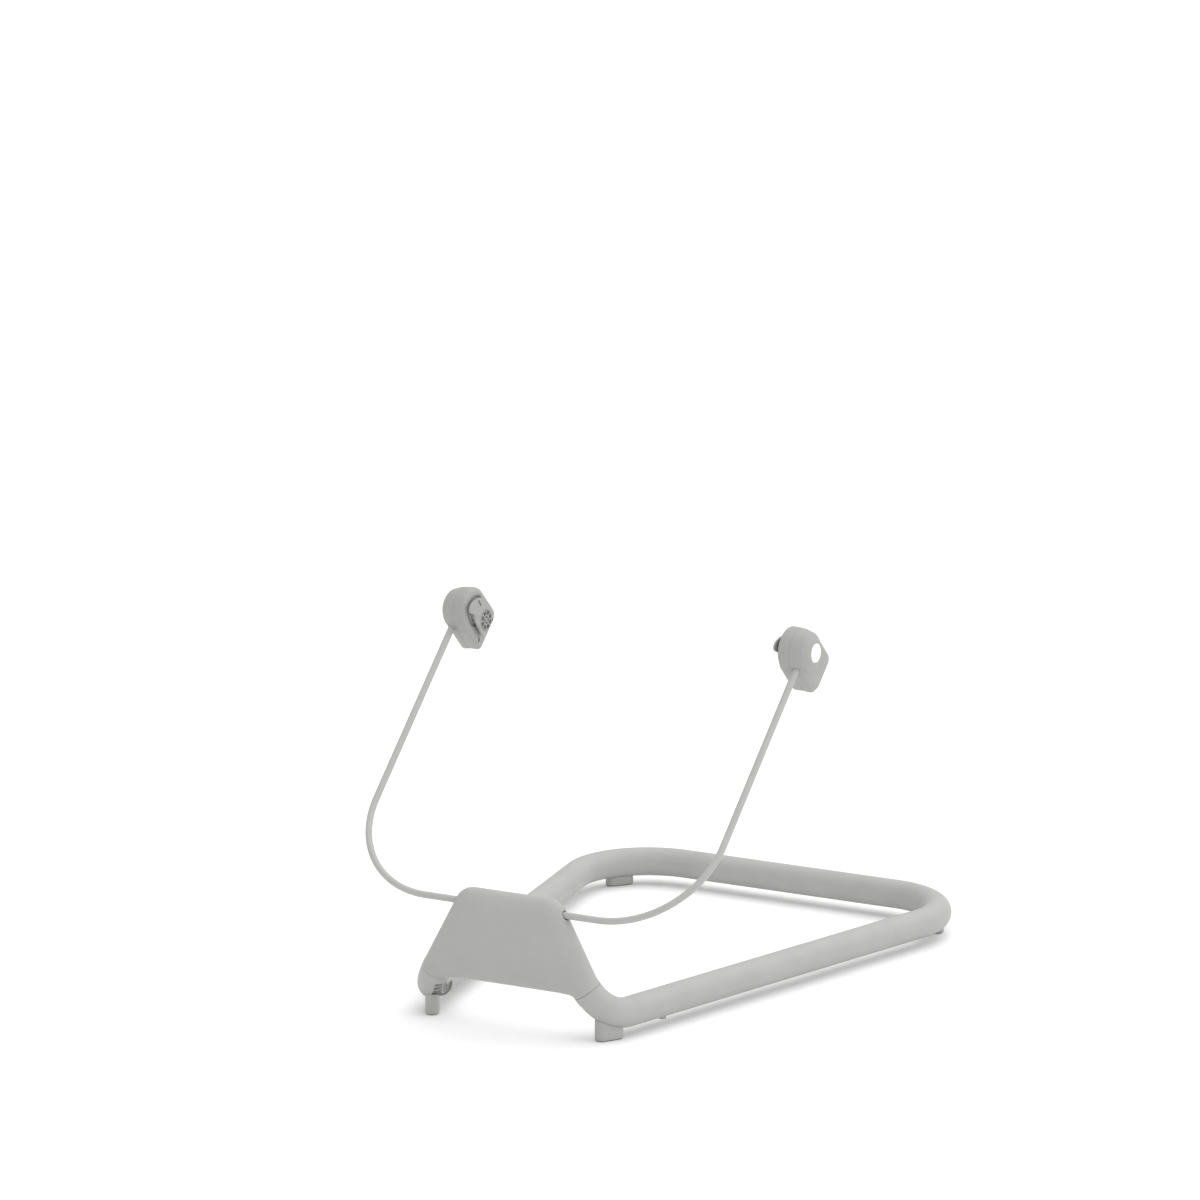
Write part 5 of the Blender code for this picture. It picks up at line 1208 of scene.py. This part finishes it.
class BOUNCER_OT_mount_shells(bpy.types.Operator):
    """Make the outer and inner shells of both seat mounts"""
    bl_idname = "bouncer.mount_shells"
    bl_label = "Mount Shells"

    def execute(self, context):
        sizes = context.scene.bouncer_mount
        self.outer_shell(sizes)
        self.inner_shell(sizes)
        return {"FINISHED"}

    def outer_shell(self, sizes):
        parting = PARTING_X + SHELL_LINE
        slope_x = FACET_X - 0.004
        slope_top = sizes.barrel_middle * 0.45 + sizes.barrel_facet * 0.55
        outlines = [
            shell_outline(parting, sizes.barrel_parting, BLOCK_BOTTOM_PARTING + 0.0002,
                          BLOCK_BACK_PARTING + 0.0002),
            shell_outline(-0.0022, sizes.barrel_middle + 0.0007, BLOCK_BOTTOM_OUTER - 0.0002,
                          BLOCK_BACK_OUTER - 0.0011),
            shell_outline(0.0007, sizes.barrel_middle, BLOCK_BOTTOM_OUTER, BLOCK_BACK_OUTER - 0.0008),
            shell_outline(0.0032, slope_top + 0.0008, BLOCK_BOTTOM_OUTER - 0.0005, BLOCK_BACK_OUTER - 0.0004),
            shell_outline(slope_x + 0.0010, slope_top, BLOCK_BOTTOM_SLOPE - 0.0014,
                          BLOCK_BACK_OUTER - 0.0002),
            shell_outline(FACET_X, sizes.barrel_facet, BLOCK_BOTTOM_FACET, BLOCK_BACK_OUTER - 0.0004)]
        mesh = bmesh.new()
        skin_through(mesh, outlines)
        face_outwards(mesh)
        round_edges(mesh, FACET_ROUND, 4, lambda edge: all(vert.co.x > FACET_X - 1e-4 for vert in edge.verts))
        round_edges(mesh, PARTING_ROUND, 2,
                    lambda edge: all(vert.co.x < parting + 1e-4 for vert in edge.verts))
        shell = new_piece(mesh, "dressed_outer_shell", "mount_plastic")
        cut_with(shell, turned, [(DOME[0][0], 0), *DOME, (DOME[-1][0], 0)], outwards(), 96, operation="UNION")
        bore = sizes.button_radius + SLIDE_GAP
        shoulder = BOSS_TOP_X - OUTER_FLOOR
        outline = [(PARTING_X - 0.001, 0), (PARTING_X - 0.001, CAVITY_RADIUS), (shoulder, CAVITY_RADIUS),
                   (shoulder, bore), (BOSS_TOP_X - 0.0005, bore), (BOSS_TOP_X, bore + 0.0005),
                   (0.030, bore + 0.0005), (0.030, 0)]
        cut_with(shell, turned, outline, outwards())
        for low, high in BLOCK_ROOMS:
            cut_with(shell, box_between, low, high)
        cut_wire_end(shell)
        for v, u in SHELL_SCREW_PLACES.values():
            cut_with(shell, bar, PARTING_X - 0.001, SHELL_SCREW_END_X + SLIDE_GAP,
                     SHELL_SCREW_RADIUS + SLIDE_GAP, outwards(v, u))
        mount_pair(shell, "dressed_outer_shell", "rocker", "grey_plastic", "outer_shell")

    def inner_shell(self, sizes):
        parting = PARTING_X - SHELL_LINE
        outlines = []
        for step in range(9):
            angle = math.pi / 2 * step / 8
            drawn = 1 - math.sin(angle)
            outlines.append(shell_outline(INNER_FACE_X + RIM_DEPTH * (1 - math.cos(angle)),
                                          sizes.barrel_inner - RIM_ROUND * drawn,
                                          BLOCK_BOTTOM_INNER - RIM_LOW * drawn,
                                          BLOCK_BACK_INNER - RIM_LOW * drawn))
        outlines.append(shell_outline(INNER_FACE_X + 0.0105, sizes.barrel_inner - 0.0002, BLOCK_BOTTOM_INNER,
                                      BLOCK_BACK_INNER + 0.0003))
        outlines.append(shell_outline(parting, sizes.barrel_parting, BLOCK_BOTTOM_PARTING,
                                      BLOCK_BACK_PARTING))
        mesh = bmesh.new()
        skin_through(mesh, outlines)
        face_outwards(mesh)
        round_edges(mesh, PARTING_ROUND, 2,
                    lambda edge: all(vert.co.x > parting - 1e-4 for vert in edge.verts))
        shell = new_piece(mesh, "dressed_inner_shell", "mount_plastic")
        chamber = INNER_FACE_X + INNER_WALL
        chamber_end = chamber + CHAMBER_DEPTH
        neck = NECK_RADIUS + SLIDE_GAP
        outline = [(INNER_FACE_X - 0.001, 0), (INNER_FACE_X - 0.001, RECESS_RADIUS),
                   (INNER_FACE_X + RECESS_DEPTH, RECESS_RADIUS), (INNER_FACE_X + RECESS_DEPTH, neck),
                   (chamber, neck), (chamber, CHAMBER_RADIUS), (chamber_end, CHAMBER_RADIUS),
                   (chamber_end, CAVITY_RADIUS), (PARTING_X + 0.001, CAVITY_RADIUS), (PARTING_X + 0.001, 0)]
        cut_with(shell, turned, outline, outwards())
        cut_wire_end(shell)
        for v, u in SHELL_SCREW_PLACES.values():
            sink = INNER_FACE_X + SHELL_SCREW_SINK + SEAT_GAP
            wide = SHELL_SCREW_HEAD + SLIDE_GAP
            narrow = SHELL_SCREW_RADIUS + SLIDE_GAP
            outline = stepped_hole(INNER_FACE_X - 0.001, wide, sink, narrow, 0.008)
            cut_with(shell, turned, outline, outwards(v, u), 32)
        mount_pair(shell, "dressed_inner_shell", "rocker", "grey_plastic", "inner_shell")


def plate_outline(x):
    """A slice of the seat plate: rounded in front, square behind, with a notch below."""
    points = [(v / 1000, u / 1000) for v, u in PLATE_OUTLINE]
    for centre_u, begin in ((-PLATE_LOW + PLATE_CORNER, -90), (PLATE_TOP - PLATE_CORNER, 0)):
        points += quarter_turn(PLATE_BACK - PLATE_CORNER, centre_u, PLATE_CORNER, begin)
    return [Vector((x, v, u)) for v, u in points]


def toothed_outline(x, radius):
    """A ring of shallow teeth about the mount's axis."""
    points = []
    for tooth in range(GEAR_TEETH * 2):
        angle = math.tau * (tooth + 0.5) / (GEAR_TEETH * 2)
        reach = radius - (GEAR_TOOTH if tooth % 2 else 0)
        points.append(Vector((x, reach * math.cos(angle), reach * math.sin(angle))))
    return points


class BOUNCER_OT_seat_plates(bpy.types.Operator):
    """Make the seat plates with their necks and the rings of pockets in them"""
    bl_idname = "bouncer.seat_plates"
    bl_label = "Seat Plates"

    def execute(self, context):
        sizes = context.scene.bouncer_mount
        self.plate(sizes)
        self.socket(sizes)
        return {"FINISHED"}

    def plate(self, sizes):
        back_x = PLATE_FACE_X + PLATE_THICKNESS
        mesh = bmesh.new()
        face = plate_of(mesh, plate_outline(back_x))
        face = pull(mesh, face, (PLATE_FACE_X + PLATE_EDGE - back_x, 0, 0))
        turn_away(mesh, face, RIGHT)
        round_rim(mesh, face, PLATE_EDGE, 4)
        plate = new_piece(mesh, "dressed_plate", "mount_plastic")
        ring_x = INNER_FACE_X + INNER_WALL + SLIDE_GAP
        ring_end = ring_x + RING_WIDTH + 2 * SEAT_GAP
        neck_end = PLATE_FACE_X + NECK_LENGTH
        bearing_x = INNER_FACE_X + RECESS_DEPTH + 0.0004
        gear_room = GEAR_ROOM_X - 0.0012
        outline = [(back_x - 0.0005, 0), (back_x - 0.0005, NECK_WAIST), (gear_room, NECK_WAIST),
                   (gear_room, NECK_SHOULDER), (bearing_x, NECK_SHOULDER), (bearing_x, NECK_RADIUS),
                   (ring_x - SEAT_GAP, NECK_RADIUS), (ring_x - SEAT_GAP, RING_GROOVE),
                   (ring_end, RING_GROOVE), (ring_end, NECK_RADIUS), (neck_end - 0.0004, NECK_RADIUS),
                   (neck_end, NECK_RADIUS - 0.0004), (neck_end, 0)]
        cut_with(plate, turned, outline, outwards(), operation="UNION")
        socket_end = PLATE_FACE_X - SOCKET_PROUD + SOCKET_DEPTH
        cut_with(plate, bar, PLATE_FACE_X + 0.0004, socket_end + 0.0010,
                 sizes.socket_radius + SOCKET_COLLAR + SLIDE_GAP, outwards(SOCKET_V, SOCKET_U), TURNED_SIDES,
                 operation="UNION")
        teeth = toothed_outline(GEAR_ROOM_X, GEAR_RADIUS + SLIDE_GAP)
        cut_with(plate, prism, teeth, (neck_end + 0.001 - GEAR_ROOM_X, 0, 0))
        cut_with(plate, bar, SPRING_ROOM_X, GEAR_ROOM_X + 0.001, SPRING_ROOM_RADIUS, outwards(), 40)
        rim = sizes.socket_radius + SEAT_GAP
        floor_x = socket_end + SEAT_GAP
        mouth = rim + 0.0006
        outline = [(PLATE_FACE_X - 0.002, 0), (PLATE_FACE_X - 0.002, mouth), (PLATE_FACE_X, mouth),
                   (PLATE_FACE_X + 0.0006, rim), (floor_x, rim), (floor_x, 0)]
        cut_with(plate, turned, outline, outwards(SOCKET_V, SOCKET_U))
        slit = [Vector((PLATE_FACE_X - 0.001, point.x + SLIT_V, point.y + SLIT_U)) for point in
                oblong(Vector((0, 0, 0)), RIGHT, SLIT_WIDTH, SLIT_LENGTH, 0, 0, 8)]
        cut_with(plate, prism, slit, (SLIT_DEPTH + 0.001, 0, 0))
        mount_pair(plate, "dressed_seat_plate", "plate", "grey_plastic", "seat_plate")

    def socket(self, sizes):
        """The ring of deep pockets between ribs."""
        face_x = PLATE_FACE_X - SOCKET_PROUD
        back_x = face_x + SOCKET_DEPTH
        radius = sizes.socket_radius
        mesh = bmesh.new()
        turned(mesh, [(back_x, 0), (back_x, radius), (face_x + 0.0004, radius), (face_x, radius - 0.0004),
                      (face_x, 0)], outwards(SOCKET_V, SOCKET_U))
        socket = new_piece(mesh, "dressed_socket", "mount_plastic")
        for count, inner, outer, share, turn in POCKETS:
            for cell in range(count):
                outline = self.pocket(face_x - 0.001, inner, outer, math.tau * (cell + turn) / count,
                                      math.tau / count * share)
                cut_with(socket, prism, outline, (SOCKET_DEPTH + 0.0005, 0, 0))
        mount_pair(socket, "dressed_seat_socket", "plate", "grey_plastic", "seat_socket")

    def pocket(self, x, inner, outer, middle, spread):
        """A pocket between two ribs: a sector with its corners drawn in."""
        points = []
        sides = ((outer, (-0.5, -0.42, -0.2, 0.0, 0.2, 0.42, 0.5)), (inner, (0.5, 0.3, 0.0, -0.3, -0.5)))
        for radius, shares in sides:
            for share in shares:
                drawn = POCKET_CORNER if abs(share) == 0.5 else 0.0
                reach = radius - drawn if radius == outer else radius + drawn
                angle = middle + spread * share
                points.append(Vector((x, SOCKET_V + reach * math.cos(angle),
                                      SOCKET_U + reach * math.sin(angle))))
        return points


# The disc's rounded edge: rises over its face and steps in from its radius
DISC_EDGE = ((-0.0006, 0.0), (-0.0002, 0.0002), (0.0, 0.0006))
# Its face with one ring groove and a faint crown: rises and radii
DISC_FACE = ((0.0, 0.0086), (-0.00022, 0.0084), (-0.00022, 0.0081), (0.0, 0.0079), (0.0001, 0.0040),
             (0.00012, 0.0))


class BOUNCER_OT_button_discs(bpy.types.Operator):
    """Make the white discs of the release buttons"""
    bl_idname = "bouncer.button_discs"
    bl_label = "Button Discs"

    def execute(self, context):
        radius = context.scene.bouncer_mount.button_radius
        face = BOSS_TOP_X + BUTTON_PROUD
        back = face - DISC_THICKNESS
        outline = [(back, 0), (back, radius)]
        outline += [(face + rise, radius - inward) for rise, inward in DISC_EDGE]
        outline += [(face + rise, reach) for rise, reach in DISC_FACE]
        mesh = bmesh.new()
        turned(mesh, outline, outwards(), 72)
        disc = new_piece(mesh, "dressed_disc", "white_plastic")
        mount_pair(disc, "dressed_button_disc", "button", "white_plastic", "button_disc")
        return {"FINISHED"}


# Fasteners

# A pan head's profile as shares of its height and radius, then a screw's other shares of its radius or height
PAN_HEAD = ((1.0, 0.72), (0.86, 0.9), (0.6, 1.0), (0.0, 1.0))
SCREW_TIP = 0.35
SLOT_REACH = 0.58
SLOT_HALF_WIDTH = 0.13
SLOT_DEPTH_SHARE = 0.62


def screw_mesh(head_radius, head_height, shank_radius, shank_length):
    """A screw whose first axis runs from under its head: a rounded pan head and a shank."""
    mesh = bmesh.new()
    outline = [(-head_height, 0)]
    outline += [(-head_height * up, head_radius * out) for up, out in PAN_HEAD]
    outline += [(0, shank_radius), (shank_length - shank_radius, shank_radius),
                (shank_length, shank_radius * SCREW_TIP), (shank_length, 0)]
    turned(mesh, outline, axes(Vector((0, 0, 0)), RIGHT, BACK, UP), 32)
    return mesh


def cross_recess(head_radius, head_height):
    """The crossed slots in a screw's head."""
    mesh = bmesh.new()
    long = head_radius * SLOT_REACH
    narrow = head_radius * SLOT_HALF_WIDTH
    arm = [(narrow, long), (-narrow, long), (-narrow, narrow)]
    points = []
    for _ in range(4):
        points += [Vector((-head_height - 0.001, v, u)) for v, u in arm]
        arm = [(-u, v) for v, u in arm]
    prism(mesh, points, (0.001 + head_height * SLOT_DEPTH_SHARE, 0, 0))
    return mesh


class BOUNCER_OT_fasteners(bpy.types.Operator):
    """Make the screws whose heads show: in the rear cover and in the mounts"""
    bl_idname = "bouncer.fasteners"
    bl_label = "Fasteners"

    def execute(self, context):
        sizes = context.scene.bouncer_base
        line = Line(sizes)
        for row, (x, z) in cover_screw_places(line).items():
            whole = screw_mesh(COVER_SCREW_HEAD, COVER_HEAD_HEIGHT, COVER_SCREW_RADIUS, COVER_SCREW_LENGTH)
            screw = new_piece(whole, "dressed_cover_screw_" + row + "_right", "zinc_steel")
            carve(screw, cross_recess(COVER_SCREW_HEAD, COVER_HEAD_HEIGHT))
            under = Vector((x, -sizes.arch_y + sizes.tube_radius - COVER_HEAD_HEIGHT, z))
            screw.data.transform(axes(under, -BACK, RIGHT, UP))
            settle_pair(screw, "dressed_cover_screw_" + row, "base", "zinc_steel", "cover_screw_" + row)
        for row, (v, u) in SHELL_SCREW_PLACES.items():
            head_x = INNER_FACE_X + SHELL_SCREW_SINK
            screw = new_piece(screw_mesh(SHELL_SCREW_HEAD, SHELL_HEAD_HEIGHT, SHELL_SCREW_RADIUS,
                                         SHELL_SCREW_END_X - head_x), "dressed_shell_screw", "zinc_steel")
            carve(screw, cross_recess(SHELL_SCREW_HEAD, SHELL_HEAD_HEIGHT))
            screw.data.transform(Matrix.Translation((head_x, v, u)))
            mount_pair(screw, "dressed_shell_screw_" + row, "rocker", "zinc_steel", "shell_screw_" + row)
        return {"FINISHED"}


# The finishes of the parts that stay from the frame, by the start of their names
INSIDE_FINISHES = {
    "corner_insert": "grey_plastic", "release_button": "grey_plastic",
    "wire_bush": "natural_nylon", "lock_gear": "natural_nylon",
    "wire_clamp": "zinc_steel", "clamp_screw": "zinc_steel", "foot_screw": "zinc_steel",
    "snap_spring": "zinc_steel", "wire_ferrule": "zinc_steel", "wire_pin": "zinc_steel",
    "neck_ring": "zinc_steel", "release_spring": "zinc_steel",
}


class BOUNCER_OT_inner_parts(bpy.types.Operator):
    """Give the parts that stay from the frame their finishes"""
    bl_idname = "bouncer.inner_parts"
    bl_label = "Inner Parts"

    def execute(self, context):
        for name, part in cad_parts.items():
            for start, slot in INSIDE_FINISHES.items():
                if name.startswith(start):
                    for place in part.material_slots:
                        place.material = finish_called(slot)
        return {"FINISHED"}


# The studio

CAMERA_PLACE = (3.858, -6.816, 2.1375)
CAMERA_TARGET = (0.0, -0.1313, 0.4658)
CAMERA_LENS = 204.6
FLOOR_HALF = 30.0
SKY_STRENGTH = 0.80
OVERHEAD_STRENGTH = 1.6
OVERHEAD_SPREAD = math.radians(88)
OVERHEAD_PLACE = (0.5, 0.6, 2.0)
SIDE_PLACE = (3.2, 0.8, 1.6)
SIDE_TARGET = (0.0, 0.0, 0.2)
SIDE_SIZE = 2.0
SIDE_POWER = 8


class BOUNCER_OT_studio(bpy.types.Operator):
    """Make the floor, the lights and the camera"""
    bl_idname = "bouncer.studio"
    bl_label = "Studio"

    def execute(self, context):
        scene = context.scene
        mesh = bmesh.new()
        bmesh.ops.create_grid(mesh, x_segments=4, y_segments=4, size=FLOOR_HALF)
        floor = new_piece(mesh, "studio_floor", "floor")

        world = bpy.data.worlds.new("studio")
        world.use_nodes = True
        sky = world.node_tree.nodes["Background"]
        sky.inputs["Color"].default_value = (1.0, 1.0, 1.0, 1.0)
        sky.inputs["Strength"].default_value = SKY_STRENGTH
        scene.world = world
        scene.view_settings.view_transform = "Standard"

        overhead = bpy.data.lights.new("overhead", "SUN")
        overhead.energy = OVERHEAD_STRENGTH
        overhead.angle = OVERHEAD_SPREAD
        lamp = bpy.data.objects.new("overhead", overhead)
        scene.collection.objects.link(lamp)
        self.aim(lamp, OVERHEAD_PLACE, (0.0, 0.0, 0.0))
        self.add_panel("side", SIDE_PLACE, SIDE_TARGET, SIDE_SIZE, SIDE_POWER)

        camera = bpy.data.cameras.new("photo_camera")
        camera.lens = CAMERA_LENS
        camera.sensor_width = 36
        camera.clip_end = 200
        view = bpy.data.objects.new("photo_camera", camera)
        scene.collection.objects.link(view)
        self.aim(view, CAMERA_PLACE, CAMERA_TARGET)
        scene.camera = view
        return {"FINISHED"}

    def aim(self, thing, place, target):
        thing.location = place
        thing.rotation_euler = (Vector(target) - Vector(place)).to_track_quat("-Z", "Y").to_euler()

    def add_panel(self, name, place, target, size, power):
        """A square soft light."""
        light = bpy.data.lights.new(name, "AREA")
        light.shape = "SQUARE"
        light.size = size
        light.energy = power
        lamp = bpy.data.objects.new(name, light)
        bpy.context.scene.collection.objects.link(lamp)
        self.aim(lamp, place, target)


class BOUNCER_PT_panel(bpy.types.Panel):
    """Lists the stand's pieces in the sidebar"""
    bl_label = "Bouncer Stand"
    bl_idname = "BOUNCER_PT_panel"
    bl_space_type = "VIEW_3D"
    bl_region_type = "UI"
    bl_category = "Bouncer"

    def draw(self, context):
        layout = self.layout
        for group in (context.scene.bouncer_base, context.scene.bouncer_wire, context.scene.bouncer_mount,
                      context.scene.bouncer_finishes):
            box = layout.box()
            for name in group.__annotations__:
                box.prop(group, name)
        for operator in OPERATORS:
            layout.operator(operator.bl_idname)


GROUPS = {"bouncer_base": BouncerBaseSizes, "bouncer_wire": BouncerWireSizes,
          "bouncer_mount": BouncerMountSizes, "bouncer_finishes": BouncerFinishes}
OPERATORS = (BOUNCER_OT_base_tube, BOUNCER_OT_housing, BOUNCER_OT_spring_wire, BOUNCER_OT_feet,
             BOUNCER_OT_snap_buttons, BOUNCER_OT_mount_shells, BOUNCER_OT_seat_plates,
             BOUNCER_OT_button_discs, BOUNCER_OT_fasteners, BOUNCER_OT_inner_parts, BOUNCER_OT_studio)


def register():
    for group in GROUPS.values():
        bpy.utils.register_class(group)
    for kind in (*OPERATORS, BOUNCER_PT_panel):
        bpy.utils.register_class(kind)
    for name, group in GROUPS.items():
        setattr(bpy.types.Scene, name, bpy.props.PointerProperty(type=group))


def unregister():
    for name in GROUPS:
        delattr(bpy.types.Scene, name)
    for kind in (BOUNCER_PT_panel, *reversed(OPERATORS)):
        bpy.utils.unregister_class(kind)
    for group in reversed(list(GROUPS.values())):
        bpy.utils.unregister_class(group)


def main():
    register()
    bpy.ops.bouncer.base_tube()
    bpy.ops.bouncer.housing()
    bpy.ops.bouncer.spring_wire()
    bpy.ops.bouncer.feet()
    bpy.ops.bouncer.snap_buttons()
    bpy.ops.bouncer.mount_shells()
    bpy.ops.bouncer.seat_plates()
    bpy.ops.bouncer.button_discs()
    bpy.ops.bouncer.fasteners()
    bpy.ops.bouncer.inner_parts()
    bpy.ops.bouncer.studio()


if __name__ == "__main__":
    main()
